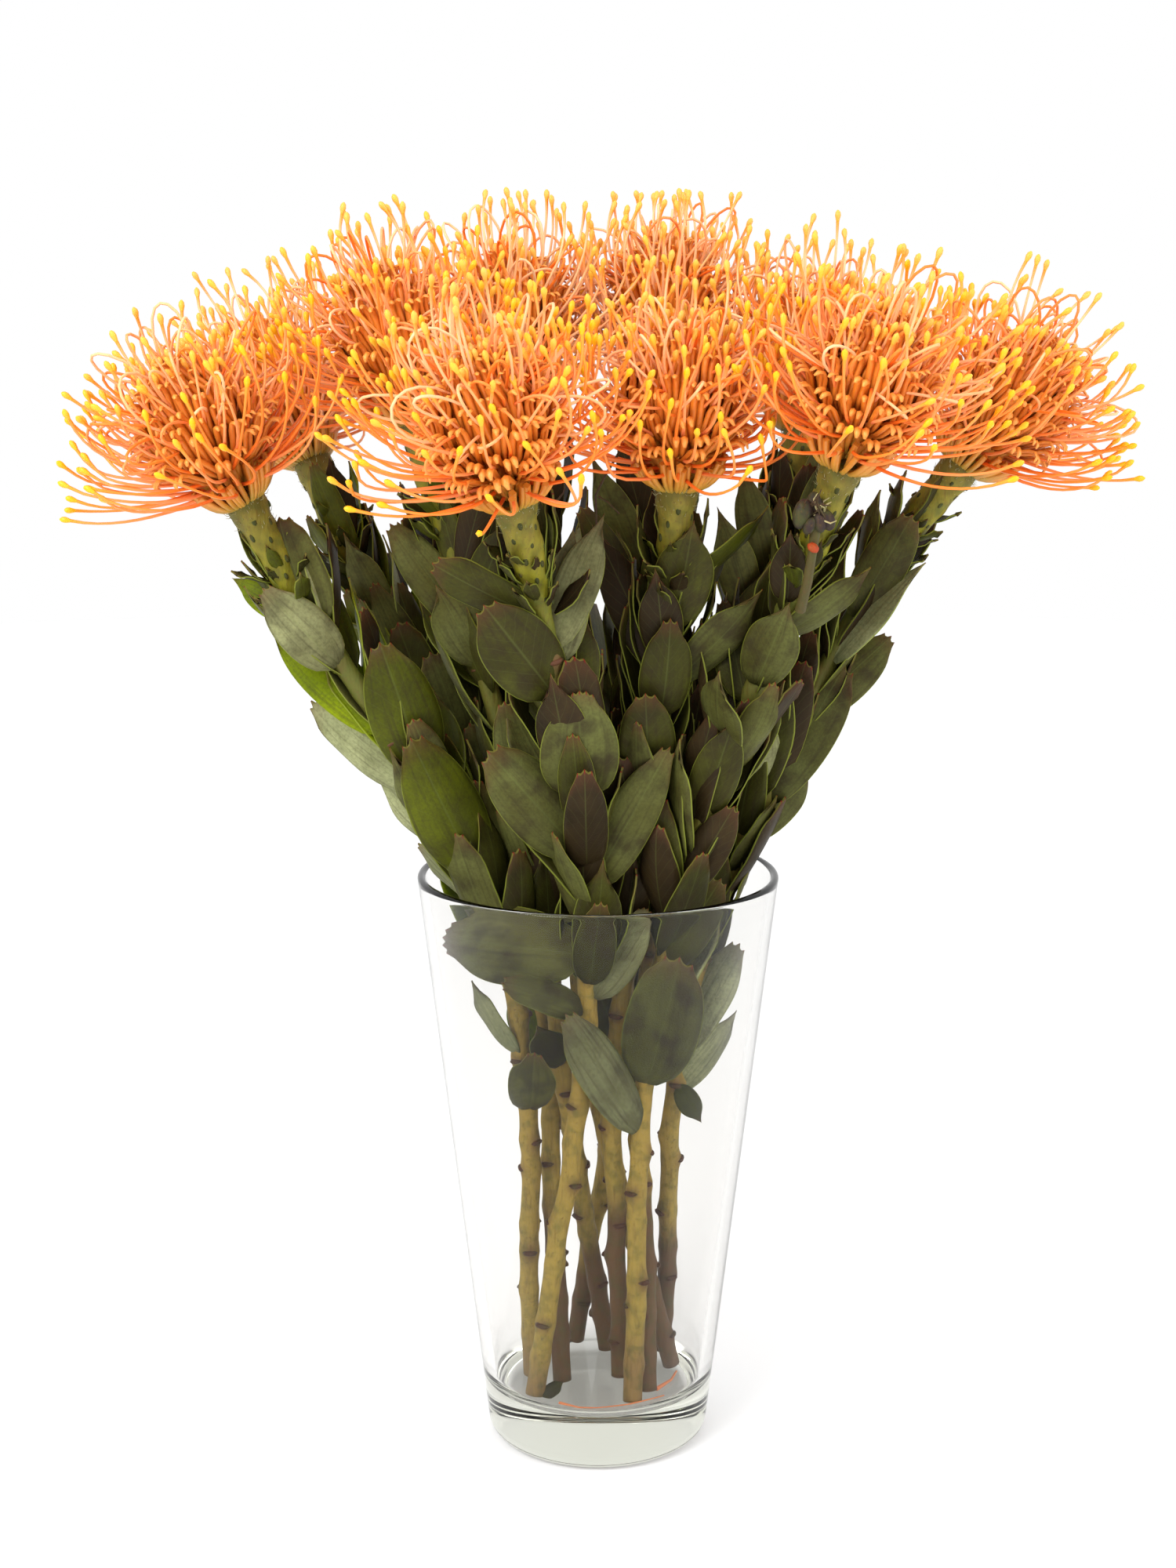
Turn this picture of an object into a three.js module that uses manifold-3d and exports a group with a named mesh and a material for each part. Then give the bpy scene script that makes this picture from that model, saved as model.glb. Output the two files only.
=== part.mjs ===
// Ten cut pincushion protea stems standing in a clear, tapered glass vase.
// Millimetres, +Z up. The origin is the centre of the vase's flat underside.

import * as THREE from "three";
import { mergeVertices } from "three/addons/utils/BufferGeometryUtils.js";
import Module from "manifold-3d";

const wasm = await Module();
wasm.setup();

// The vase
const VASE_HEIGHT = 225.5;
const RIM_RADIUS = 68.5;
const BASE_RADIUS = 43.2;
const BASE_CORNER = 6.5;
const FLOOR_HEIGHT = 21;
const FLOOR_RADIUS = 33;
const FLOOR_CORNER = 8;
const WALL = 3.1;
const VASE_SIDES = 28;
const CORNER_STEPS = 2;

// The stems
const STEM_RADIUS = 3.6;
const NECK_RADIUS = 5.0;
const COLLAR_RADIUS = 7.4;
const NECK_LENGTH = 44;
const COLLAR_LENGTH = 9;
const STEM_SIDES = 6;
const STEM_STEPS = 11;
const WAIST_HEIGHT = 150;
const SEAT_GAP = 0.3;

// The flower heads
const STYLES = 19;
const STYLE_RADIUS = 0.8;
const TIP_RADIUS = 1.55;
const TIP_LENGTH = 4.6;
const LOW_STYLE = 58;
const TOP_STYLE = 42;
const CORE_RADIUS = 21;
const CORE_HEIGHT = 44;
const CORE_COLUMNS = 10;
const CORE_ROWS = 6;
const CORE_RELIEF = 3.2;
const HEAD_CENTRE = 28;
const CELL_MARGIN = 2.0;
const CELL_SOFTNESS = 9;
const STYLE_STEPS = 3;
const STYLE_SAMPLE = 1.5;
const STYLE_GAP = 1.0;
const STYLE_TURNS = [0, -7, 7, -14, 14, -21, 21];

// The leaves
const LEAVES_PER_STEM = 9;
const LEAF_LENGTH = 54;
const LEAF_WIDTH = 23;
const LEAF_THICKNESS = 0.7;
const LEAF_GAP = 3.2;
const LOWEST_LEAF = 122;
const HEAD_REACH = 64;
const SAMPLE_ROWS = 12;
const MIDDLE_SAMPLE = 45;
const FRONT_ATTEMPTS = 27;
const SPIRAL_ATTEMPTS = 54;
const TOWARDS_VIEW = new THREE.Vector3(0, -1, 0.25);

const GOLDEN_ANGLE = Math.PI * (3 - Math.sqrt(5));

// Each stem: where its cut end stands, where it passes the waist of the bunch and the rim,
// where its flower head sits, and the way that the head faces.
const FLOWERS = [
  { foot: [-26, 0], waist: [-28, -8], rim: [-44, -13], head: [-125, -40, 369], faces: [-0.44, -0.16, 0.88] },
  { foot: [-14, -7], waist: [-21, 11], rim: [-34, 16], head: [-111, 45, 378], faces: [-0.4, 0.24, 0.88] },
  { foot: [-24, -19], waist: [-6, -18], rim: [-4, -29], head: [-29, -85, 373], faces: [-0.2, -0.42, 0.88] },
  { foot: [4, 23], waist: [-14, -3], rim: [-24, -3], head: [-66, -12, 396], faces: [-0.26, -0.04, 0.96] },
  { foot: [9, -1], waist: [6, -8], rim: [15, -15], head: [27, -50, 375], faces: [0.02, -0.2, 0.98] },
  { foot: [-9, 31], waist: [9, 14], rim: [11, 18], head: [25, 50, 408], faces: [0.06, 0.24, 0.97] },
  { foot: [30, 6], waist: [-5, 10], rim: [-9, 16], head: [-29, 40, 402], faces: [-0.12, 0.14, 0.98] },
  { foot: [13, -24], waist: [18, -13], rim: [30, -22], head: [83, -62, 383], faces: [0.28, -0.3, 0.91] },
  { foot: [19, -15], waist: [17, 5], rim: [28, 8], head: [77, 26, 390], faces: [0.16, 0.16, 0.97] },
  { foot: [27, 20], waist: [31, 0], rim: [50, 0], head: [133, -2, 379], faces: [0.6, -0.05, 0.8] },
];

// The broad leaves on the near side of the bunch. Each is the number of its stem, the height that it
// grows at, the way from its root to its tip in millimetres, its width, and its roll in degrees.
const FRONT_LEAVES = [
  [0, 309, -24, -10, 28, 19, 0],
  [0, 322, -12, -12, 36, 20, -20],
  [0, 326, -28, 8, 13, 13, 0],
  [0, 283, -40, 6, 39, 20, 0],
  [0, 275, -17, -10, 46, 24, 10],
  [0, 229, -22, -12, 52, 26, 0],
  [0, 215, -25, -3, 22, 16, -50],
  [0, 234, -35, 6, 31, 15, -55],
  [0, 258, -44, 4, 33, 16, -50],
  [0, 156, -15, 2, 27, 13, -50],
  [1, 262, -13, -8, 43, 17, 20],
  [1, 308, -7, 4, 39, 17, 75],
  [1, 328, 2, -6, 36, 15, 0],
  [1, 153, -12, 4, 20, 13, 0],
  [2, 331, -34, -6, 18, 15, -40],
  [2, 302, -24, -14, 35, 25, 0],
  [2, 312, 6, -12, 44, 18, 0],
  [2, 262, 0, -18, 40, 27, 0],
  [2, 240, -32, -12, 40, 24, 0],
  [2, 219, -34, -2, 46, 18, 70],
  [2, 226, 27, -10, 52, 18, 0],
  [2, 196, -46, 15, 5, 21, 0],
  [2, 184, -30, 2, 11, 14, 20],
  [3, 306, -15, -8, 29, 18, 0],
  [3, 208, -15, -14, 32, 21, 0],
  [3, 150, -9, -6, 22, 14, 0],
  [4, 324, 6, -12, 37, 20, 0],
  [4, 302, 31, -10, 34, 15, 35],
  [4, 214, 17, -4, 46, 15, 55],
  [4, 338, 30, -2, 27, 12, 60],
  [4, 176, 12, -8, 32, 18, 0],
  [7, 303, 10, -14, 30, 19, 0],
  [7, 266, 6, -12, 30, 17, 40],
  [7, 240, 3, -12, 30, 18, 0],
  [7, 333, 0, -10, 25, 13, 0],
  [7, 322, 29, -4, 23, 13, 50],
  [7, 125, -26, -14, 41, 18, 0],
  [7, 147, 8, -10, 45, 24, 0],
  [8, 283, 30, -6, 33, 15, 60],
  [9, 252, 29, -6, 50, 22, 0],
  [9, 226, 15, -6, 29, 15, 60],
  [9, 238, 26, 6, 27, 18, 0],
  [9, 306, 31, 2, 36, 15, -40],
  [9, 322, 19, -8, 38, 17, 0],
  [9, 285, 33, 8, 28, 18, 0],
  [9, 152, 15, 0, 37, 15, 20],
  [9, 130, 15, -6, 24, 15, 0],
];

// A repeatable draw from 0 to 1 for three whole numbers.
function draw(a, b, c) {
  const wave = Math.sin(a * 12.9898 + b * 78.233 + c * 37.719) * 43758.5453;
  return wave - Math.floor(wave);
}

function mix(from, to, share) {
  return from + (to - from) * share;
}

function degrees(angle) {
  return (angle * Math.PI) / 180;
}

// Two directions square to an axis: across lies level, and beyond completes the frame.
function frameOf(axis) {
  const across = new THREE.Vector3(0, 1, 0).cross(axis).normalize();
  const beyond = axis.clone().cross(across);
  return { across, beyond };
}

// The glass's inside from the middle of its floor to the foot of its wall, as radius and height.
const FLOOR_LINE = [new THREE.Vector2(0, FLOOR_HEIGHT)];
for (let i = 0; i <= CORNER_STEPS; i += 1) {
  const angle = (Math.PI / 2) * (i / CORNER_STEPS);
  FLOOR_LINE.push(
    new THREE.Vector2(
      FLOOR_RADIUS + FLOOR_CORNER * Math.sin(angle),
      FLOOR_HEIGHT + FLOOR_CORNER * (1 - Math.cos(angle)),
    ),
  );
}

// Height of the glass floor's inside at a distance from the vase's axis.
function floorAt(distance) {
  const next = Math.max(FLOOR_LINE.findIndex((point) => point.x > distance), 1);
  const [low, high] = [FLOOR_LINE[next - 1], FLOOR_LINE[next]];
  return mix(low.y, high.y, (distance - low.x) / (high.x - low.x));
}

// Radius of the glass wall's outside at a height.
function wallAt(height) {
  return mix(BASE_RADIUS, RIM_RADIUS, (height - BASE_CORNER) / (VASE_HEIGHT - BASE_CORNER));
}

// One closed mesh as a solid for joining and cutting.
function solidOf(geometry) {
  const bare = new THREE.BufferGeometry();
  bare.setAttribute("position", geometry.getAttribute("position"));
  bare.setIndex(geometry.getIndex());
  const merged = mergeVertices(bare, 1e-4);
  return new wasm.Manifold(
    new wasm.Mesh({
      numProp: 3,
      vertProperties: new Float32Array(merged.getAttribute("position").array),
      triVerts: new Uint32Array(merged.getIndex().array),
    }),
  );
}

function geometryOf(solid) {
  const mesh = solid.getMesh();
  const geometry = new THREE.BufferGeometry();
  geometry.setAttribute("position", new THREE.BufferAttribute(mesh.vertProperties, 3));
  geometry.setIndex(new THREE.BufferAttribute(mesh.triVerts, 1));
  geometry.computeVertexNormals();
  return geometry;
}

// A closed body through rings of points: each ring is joined to the next, and both ends are capped.
function loft(rings) {
  const sides = rings[0].length;
  const positions = rings.flat().flatMap((point) => [point.x, point.y, point.z]);
  const faces = [];
  for (let i = 0; i + 1 < rings.length; i += 1) {
    for (let j = 0; j < sides; j += 1) {
      const a = i * sides + j;
      const b = i * sides + ((j + 1) % sides);
      faces.push(a, b, a + sides, b, b + sides, a + sides);
    }
  }
  const last = (rings.length - 1) * sides;
  for (let j = 1; j + 1 < sides; j += 1) {
    faces.push(0, j + 1, j);
    faces.push(last, last + j, last + j + 1);
  }
  const geometry = new THREE.BufferGeometry();
  geometry.setAttribute("position", new THREE.Float32BufferAttribute(positions, 3));
  geometry.setIndex(faces);
  return geometry;
}

// A tube along points, with its own radius at each, square to the line that it follows.
function tube(points, radii, sides) {
  const rings = points.map((point, i) => {
    const before = points[Math.max(i - 1, 0)];
    const after = points[Math.min(i + 1, points.length - 1)];
    const { across, beyond } = frameOf(after.clone().sub(before).normalize());
    return Array.from({ length: sides }, (_, j) => {
      const angle = (2 * Math.PI * j) / sides;
      return point
        .clone()
        .addScaledVector(across, radii[i] * Math.cos(angle))
        .addScaledVector(beyond, radii[i] * Math.sin(angle));
    });
  });
  return loft(rings);
}

// The glass: a thick base with a round corner, a straight tapered wall and a round lip.
function vaseGeometry() {
  const lip = WALL / 2;
  const profile = [new THREE.Vector2(0, 0)];
  for (let i = 0; i <= CORNER_STEPS; i += 1) {
    const angle = (Math.PI / 2) * (i / CORNER_STEPS);
    profile.push(
      new THREE.Vector2(
        BASE_RADIUS - BASE_CORNER * (1 - Math.sin(angle)),
        BASE_CORNER * (1 - Math.cos(angle)),
      ),
    );
  }
  for (let i = 0; i <= CORNER_STEPS; i += 1) {
    const angle = Math.PI * (i / CORNER_STEPS);
    profile.push(
      new THREE.Vector2(
        RIM_RADIUS - lip + lip * Math.cos(angle),
        VASE_HEIGHT - lip + lip * Math.sin(angle),
      ),
    );
  }
  profile.push(...FLOOR_LINE.toReversed());
  const geometry = new THREE.LatheGeometry(profile, VASE_SIDES);
  geometry.rotateX(Math.PI / 2);
  return geometry;
}

// Height at which a stem's cut end stands on the glass, for its place and the way that it leans.
function footHeight(foot, lean) {
  const { across, beyond } = frameOf(lean);
  const heights = Array.from({ length: STEM_SIDES }, (_, j) => {
    const angle = (2 * Math.PI * j) / STEM_SIDES;
    const edge = across.clone().multiplyScalar(Math.cos(angle)).addScaledVector(beyond, Math.sin(angle));
    edge.multiplyScalar(STEM_RADIUS);
    return floorAt(Math.hypot(foot[0] + edge.x, foot[1] + edge.y)) - edge.z;
  });
  return Math.max(...heights) + SEAT_GAP;
}

// The line of one stem, from its cut end to the seat under its flower head.
function stemLine(flower) {
  const waist = new THREE.Vector3(...flower.waist, WAIST_HEIGHT);
  const head = new THREE.Vector3(...flower.head);
  const faces = new THREE.Vector3(...flower.faces).normalize();
  const lean = waist.clone().sub(new THREE.Vector3(...flower.foot, FLOOR_HEIGHT)).normalize();
  const foot = new THREE.Vector3(...flower.foot, footHeight(flower.foot, lean));
  const knee = foot.clone().lerp(waist, 0.3);
  return new THREE.CatmullRomCurve3(
    [
      foot,
      knee,
      waist,
      new THREE.Vector3(...flower.rim, VASE_HEIGHT),
      head.clone().addScaledVector(faces, -NECK_LENGTH),
      head.clone().addScaledVector(faces, -COLLAR_LENGTH),
      head,
    ],
    false,
    "centripetal",
  );
}

// A stem is slender, thickens into the neck and flares into the collar under the head.
function stemRadius(share, length) {
  const left = length * (1 - share);
  const neck = Math.min(Math.max(1 - left / NECK_LENGTH, 0), 1);
  const swell = mix(STEM_RADIUS, NECK_RADIUS, Math.min(neck * 2, 1));
  return mix(swell, COLLAR_RADIUS, Math.max(1 - left / COLLAR_LENGTH, 0));
}

// A tip that would leave its own cell of the bunch is bent back before the wall between two heads.
function keepInCell(point, own, heads) {
  heads.forEach((other, i) => {
    if (i === own) return;
    const towards = other.centre.clone().sub(heads[own].centre);
    const half = towards.length() / 2;
    towards.normalize();
    const along = point.clone().sub(heads[own].centre).dot(towards);
    const soft = half - CELL_MARGIN - CELL_SOFTNESS;
    if (along > soft) {
      const bent = half - CELL_MARGIN - CELL_SOFTNESS * Math.exp((soft - along) / CELL_SOFTNESS);
      point.addScaledVector(towards, bent - along);
    }
  });
  return point;
}

// The line of one style: it leaves the core at a slant that depends on its height and curves upwards.
function styleLine(own, index, head, shift) {
  const { base, axis, across, beyond } = head;
  const share = (index + 0.5) / STYLES;
  const turn = index * GOLDEN_ANGLE + own + shift;
  const leave = Math.acos(mix(-0.16, 0.97, share)) + degrees(8 * (draw(own, index, 1) - 0.5));
  const end = degrees(mix(16, -2, share) + 22 * (draw(own, index, 2) - 0.5));
  const sway = 0.35 * (draw(own, index, 3) - 0.5);
  const length = mix(LOW_STYLE, TOP_STYLE, share) * mix(0.93, 1.06, draw(own, index, 4));
  let out = mix(5, 1, share);
  let up = mix(4, 27, share ** 0.8);
  const points = [];
  const fine = 24;
  for (let i = 0; i <= fine; i += 1) {
    if ((i * STYLE_STEPS) % fine === 0) {
      const angle = turn + sway * (i / fine) ** 2;
      points.push(
        base
          .clone()
          .addScaledVector(axis, up)
          .addScaledVector(across, out * Math.cos(angle))
          .addScaledVector(beyond, out * Math.sin(angle)),
      );
    }
    const slant = mix(leave, end, ((i + 0.5) / fine) ** 1.6);
    out += (length / fine) * Math.sin(slant);
    up += (length / fine) * Math.cos(slant);
  }
  return points;
}

// The swollen pollen presenter is added to the end of a style's line.
function withTip(line) {
  const end = line[line.length - 1];
  const way = end.clone().sub(line[line.length - 2]).normalize();
  return [
    ...line,
    end.clone().addScaledVector(way, TIP_LENGTH * 0.65),
    end.clone().addScaledVector(way, TIP_LENGTH),
  ];
}

const STYLE_RADII = [
  STYLE_RADIUS,
  STYLE_RADIUS,
  STYLE_RADIUS * 0.9,
  STYLE_RADIUS * 0.8,
  TIP_RADIUS,
  TIP_RADIUS * 0.45,
];

// Points along a style with its radius there, close enough together that two which cross are found.
function styleSamples(line) {
  return line.slice(1).flatMap((next, i) => {
    const count = Math.ceil(line[i].distanceTo(next) / STYLE_SAMPLE);
    return Array.from({ length: count }, (_, j) => ({
      at: line[i].clone().lerp(next, (j + 1) / count),
      radius: mix(STYLE_RADII[i], STYLE_RADII[i + 1], (j + 1) / count),
    }));
  });
}

// A style may reach in between those of the next head, but it stays off them, their cores and stems.
function styleIsClear(samples, own, placed, stemPoints, heads) {
  return samples.every(({ at, radius }) => {
    const offCores = heads.every((head, i) => {
      if (i === own) return true;
      const rise = at.clone().sub(head.base);
      const up = Math.min(Math.max(rise.dot(head.axis), CORE_HEIGHT * 0.3), CORE_HEIGHT * 0.7);
      return rise.addScaledVector(head.axis, -up).length() > CORE_RADIUS + CORE_RELIEF + radius + STYLE_GAP;
    });
    if (!offCores) return false;
    const reach = (COLLAR_RADIUS + radius + STYLE_GAP) ** 2;
    const offStems = stemPoints.every(
      (points, i) => i === own || points.every((point) => point.distanceToSquared(at) > reach),
    );
    if (!offStems) return false;
    return placed.every(
      (other) =>
        other.own === own ||
        other.samples.every((o) => o.at.distanceToSquared(at) > (radius + o.radius + STYLE_GAP) ** 2),
    );
  });
}

// The styles of all heads. Each takes its natural line if that is free, or turns a little, or is bent
// back into its own head's share of the space, or is left out.
function growStyles(lines, heads) {
  const stemPoints = lines.map((line) => line.getSpacedPoints(120));
  const placed = [];
  return heads.map((head, own) => {
    const grown = [];
    for (let index = 0; index < STYLES; index += 1) {
      const natural = STYLE_TURNS.map((turn) => styleLine(own, index, head, degrees(turn)));
      const bent = natural.map((line) => line.map((point) => keepInCell(point.clone(), own, heads)));
      const found = [...natural, ...bent].map(withTip).find((line) => {
        const samples = styleSamples(line);
        const clear = styleIsClear(samples, own, placed, stemPoints, heads);
        if (clear) placed.push({ own, samples });
        return clear;
      });
      if (found) grown.push(found);
    }
    return grown;
  });
}

// The packed florets of a head: a dome whose staggered rows of curled tips stand out as relief.
function coreGeometry(head) {
  const rows = CORE_ROWS;
  const rings = [];
  for (let i = 0; i <= rows; i += 1) {
    const rise = i / rows;
    const up = SEAT_GAP + CORE_HEIGHT * rise;
    const girth = Math.sin(Math.PI * mix(0.1, 0.97, rise ** 0.85));
    const radius = i === 0 ? COLLAR_RADIUS - 0.4 : CORE_RADIUS * girth ** 0.75;
    rings.push(
      Array.from({ length: CORE_COLUMNS }, (_, j) => {
        const bump = i > 0 && i < rows ? CORE_RELIEF * ((i + j) % 2) : 0;
        const angle = (2 * Math.PI * j) / CORE_COLUMNS;
        return head.base
          .clone()
          .addScaledVector(head.axis, up)
          .addScaledVector(head.across, (radius + bump) * Math.cos(angle))
          .addScaledVector(head.beyond, (radius + bump) * Math.sin(angle));
      }),
    );
  }
  return loft(rings);
}

function bloomGeometry(head, styles) {
  const parts = [solidOf(coreGeometry(head))];
  styles.forEach((line) => parts.push(solidOf(tube(line, STYLE_RADII, 3))));
  return geometryOf(wasm.Manifold.union(parts).simplify(0.02));
}

// A point of a leaf's middle surface. Along runs from the stem to the tip, and aside across the blade,
// which arches towards its outer face, cups away from it at the edges, and twists as it rises.
function leafPoint(leaf, along, aside) {
  const twist = leaf.twist * along;
  const side = leaf.side.clone().multiplyScalar(Math.cos(twist)).addScaledVector(leaf.face, Math.sin(twist));
  const arch = (leaf.length * leaf.bend * along * (1 - along)) / 2;
  return leaf.root
    .clone()
    .addScaledVector(leaf.way, leaf.length * along)
    .addScaledVector(leaf.face, arch - (leaf.cup * aside * aside) / leaf.width)
    .addScaledVector(side, aside);
}

// Half the width of the blade, as a share of its widest, from above its root to the toothed tip.
const LEAF_OUTLINE = [
  [0.15, 0.78],
  [0.62, 0.98],
  [0.94, 0.52],
  [0.89, 0.25],
];

// The blade as a thin plate: a round base, a broad middle, and a tip with three teeth.
function leafGeometry(leaf) {
  const half = leaf.width / 2;
  const right = LEAF_OUTLINE.map(([along, aside]) => leafPoint(leaf, along, aside * half));
  const left = LEAF_OUTLINE.map(([along, aside]) => leafPoint(leaf, along, -aside * half));
  const border = [leafPoint(leaf, 0, 0), ...right, leafPoint(leaf, 1, 0), ...left.reverse()];
  const cells = [
    [0, 1, 9],
    [1, 8, 9],
    [1, 2, 8],
    [2, 3, 4],
    [2, 4, 6],
    [2, 6, 8],
    [6, 7, 8],
    [4, 5, 6],
  ];
  const outer = border.map((point) => point.clone().addScaledVector(leaf.face, LEAF_THICKNESS / 2));
  const inner = border.map((point) => point.clone().addScaledVector(leaf.face, -LEAF_THICKNESS / 2));
  const count = border.length;
  const faces = [];
  cells.forEach(([a, b, c]) => {
    faces.push(a, b, c);
    faces.push(count + a, count + c, count + b);
  });
  for (let i = 0; i < count; i += 1) {
    const next = (i + 1) % count;
    faces.push(i, count + i, next, next, count + i, count + next);
  }
  const geometry = new THREE.BufferGeometry();
  const positions = [...outer, ...inner].flatMap((point) => [point.x, point.y, point.z]);
  geometry.setAttribute("position", new THREE.Float32BufferAttribute(positions, 3));
  geometry.setIndex(faces);
  return geometry;
}

// Points spread over a blade, close enough together that two blades which cross are found.
function leafSamples(leaf) {
  const samples = [];
  for (let i = 0; i <= SAMPLE_ROWS; i += 1) {
    for (let j = -3; j <= 3; j += 1) {
      const along = mix(0.08, 1, i / SAMPLE_ROWS);
      samples.push(leafPoint(leaf, along, (j / 3) * 0.5 * leaf.width * (i < SAMPLE_ROWS ? 1 : 0.6)));
    }
  }
  return samples;
}

// A leaf stands clear when it is inside the glass or above it, under every head, and off its neighbours.
function leafIsClear(samples, own, placed, stemPoints, heads) {
  const inner = WALL + 2;
  const middle = samples[MIDDLE_SAMPLE];
  return samples.every((point) => {
    const spread = Math.hypot(point.x, point.y);
    if (point.z < VASE_HEIGHT + 2 && spread > wallAt(point.z) - inner) return false;
    const underHeads = heads.every((head) => {
      const rise = point.clone().sub(head.base);
      const up = rise.dot(head.axis);
      return up < -3 || rise.length() > HEAD_REACH;
    });
    if (!underHeads) return false;
    const offStems = stemPoints.every(
      (points, i) => i === own || points.every((p) => p.distanceToSquared(point) > (STEM_RADIUS + 3.2) ** 2),
    );
    if (!offStems) return false;
    return placed.every(
      (other) =>
        other[MIDDLE_SAMPLE].distanceTo(middle) > 90 ||
        other.every((p) => p.distanceToSquared(point) > LEAF_GAP ** 2),
    );
  });
}

// Share of a stem's length at which it reaches a height.
function shareAtHeight(line, height) {
  let [low, high] = [0, 1];
  for (let i = 0; i < 24; i += 1) {
    const middle = (low + high) / 2;
    if (line.getPointAt(middle).z < height) low = middle;
    else high = middle;
  }
  return low;
}

// A leaf from its place on the stem, the way that it points, the side that it shows, and its roll.
function leafAt(line, share, way, shows, roll, shape) {
  const upward = line.getTangentAt(share);
  const face = shows.clone().addScaledVector(way, -shows.dot(way)).normalize();
  face.applyAxisAngle(way, roll);
  const outward = way.clone().addScaledVector(upward, -way.dot(upward)).normalize();
  const root = line.getPointAt(share).addScaledVector(outward, STEM_RADIUS * 0.4);
  return { root, way, face, side: way.clone().cross(face), ...shape };
}

// One of the broad leaves on the near side, moved a little or made smaller with each attempt.
function frontLeaf(line, number, attempt) {
  const [, height, dx, dy, dz, width, roll] = FRONT_LEAVES[number];
  const shrink = 1 - 0.14 * Math.floor(attempt / 9);
  const steps = [0, -1, 1, -2, 2, -3, 3, -4, 4];
  const way = new THREE.Vector3(dx, dy + 4 * steps[attempt % 9], dz);
  const length = Math.hypot(dx, dy, dz) * shrink;
  return leafAt(line, shareAtHeight(line, height), way.normalize(), TOWARDS_VIEW, degrees(roll), {
    length,
    width: width * shrink,
    bend: mix(0.25, 0.7, draw(number, 1, 21)),
    twist: degrees(mix(-18, 18, draw(number, 2, 21))),
    cup: mix(0.15, 0.5, draw(number, 3, 21)),
  });
}

// One of the leaves that follow the stem's spiral, turned or made smaller with each attempt.
function spiralLeaf(line, own, k, attempt) {
  const length = line.getLength();
  const top = 1 - (NECK_LENGTH + 4) / length;
  const bottom = LOWEST_LEAF / length;
  const share = mix(top, bottom * 0.82, (k + 0.6 * draw(own, k, 5)) / LEAVES_PER_STEM);
  const upward = line.getTangentAt(share);
  const { across, beyond } = frameOf(upward);
  const size = mix(0.62, 1, Math.min(k / 3, 1)) * mix(0.9, 1.12, draw(own, k, 6));
  const side = attempt % 2 ? 1 : -1;
  const turn = k * GOLDEN_ANGLE + own * 1.7 + side * Math.ceil((attempt % 18) / 2) * degrees(20);
  const shrink = 1 - 0.16 * Math.floor(attempt / 18);
  const slant = degrees(mix(22, 44, draw(own, k, 8 + attempt)));
  const outward = across.multiplyScalar(Math.cos(turn)).addScaledVector(beyond, Math.sin(turn));
  const way = upward.clone().multiplyScalar(Math.cos(slant)).addScaledVector(outward, Math.sin(slant));
  return leafAt(line, share, way, outward, degrees(mix(-16, 16, draw(own, k, 10 + attempt))), {
    length: LEAF_LENGTH * size * shrink,
    width: LEAF_WIDTH * size * shrink * mix(0.88, 1.1, draw(own, k, 7)),
    bend: mix(0.2, 0.7, draw(own, k, 9)),
    twist: degrees(mix(-35, 35, draw(own, k, 11))),
    cup: mix(0.1, 0.55, draw(own, k, 12)),
  });
}

// The leaves of all stems. Each moves, turns or shrinks until it finds free space, or is left out.
function growLeaves(lines, heads) {
  const stemPoints = lines.map((line) => line.getSpacedPoints(120));
  const placed = [];
  const leaves = lines.map(() => []);
  const place = (own, attempts, leafFor) => {
    for (let attempt = 0; attempt < attempts; attempt += 1) {
      const leaf = leafFor(attempt);
      const samples = leafSamples(leaf);
      if (leafIsClear(samples, own, placed, stemPoints, heads)) {
        placed.push(samples);
        leaves[own].push(leaf);
        return;
      }
    }
  };
  FRONT_LEAVES.forEach(([own], number) => {
    place(own, FRONT_ATTEMPTS, (attempt) => frontLeaf(lines[own], number, attempt));
  });
  for (let k = 0; k < LEAVES_PER_STEM; k += 1) {
    lines.forEach((line, own) => {
      place(own, SPIRAL_ATTEMPTS, (attempt) => spiralLeaf(line, own, k, attempt));
    });
  }
  return leaves;
}

function stemGeometry(line, leaves) {
  const length = line.getLength();
  const shares = Array.from({ length: STEM_STEPS + 1 }, (_, i) => i / STEM_STEPS);
  shares.splice(STEM_STEPS, 0, 1 - COLLAR_LENGTH / length);
  const points = shares.map((share) => line.getPointAt(share));
  const radii = shares.map((share) => stemRadius(share, length));
  const parts = [solidOf(tube(points, radii, STEM_SIDES))];
  leaves.forEach((leaf) => parts.push(solidOf(leafGeometry(leaf))));
  return geometryOf(wasm.Manifold.union(parts).simplify(0.02));
}

const glass = new THREE.MeshStandardMaterial({
  color: 0xe9efec,
  roughness: 0.03,
  metalness: 0,
  transparent: true,
  opacity: 0.3,
});
const foliage = new THREE.MeshStandardMaterial({ color: 0x4c5c3f, roughness: 0.55, metalness: 0 });
const petal = new THREE.MeshStandardMaterial({ color: 0xf2803c, roughness: 0.5, metalness: 0 });

const heads = FLOWERS.map((flower) => {
  const base = new THREE.Vector3(...flower.head);
  const axis = new THREE.Vector3(...flower.faces).normalize();
  const centre = base.clone().addScaledVector(axis, HEAD_CENTRE);
  return { base, axis, centre, ...frameOf(axis) };
});
const lines = FLOWERS.map(stemLine);
const leaves = growLeaves(lines, heads);
const styles = growStyles(lines, heads);

const bouquet = new THREE.Group();

function add(name, geometry, material) {
  const mesh = new THREE.Mesh(geometry, material);
  mesh.name = name;
  bouquet.add(mesh);
}

add("vase", vaseGeometry(), glass);
FLOWERS.forEach((_, i) => {
  const number = String(i + 1).padStart(2, "0");
  add(`stem_${number}`, stemGeometry(lines[i], leaves[i]), foliage);
  add(`bloom_${number}`, bloomGeometry(heads[i], styles[i]), petal);
});

export default bouquet;
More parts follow.
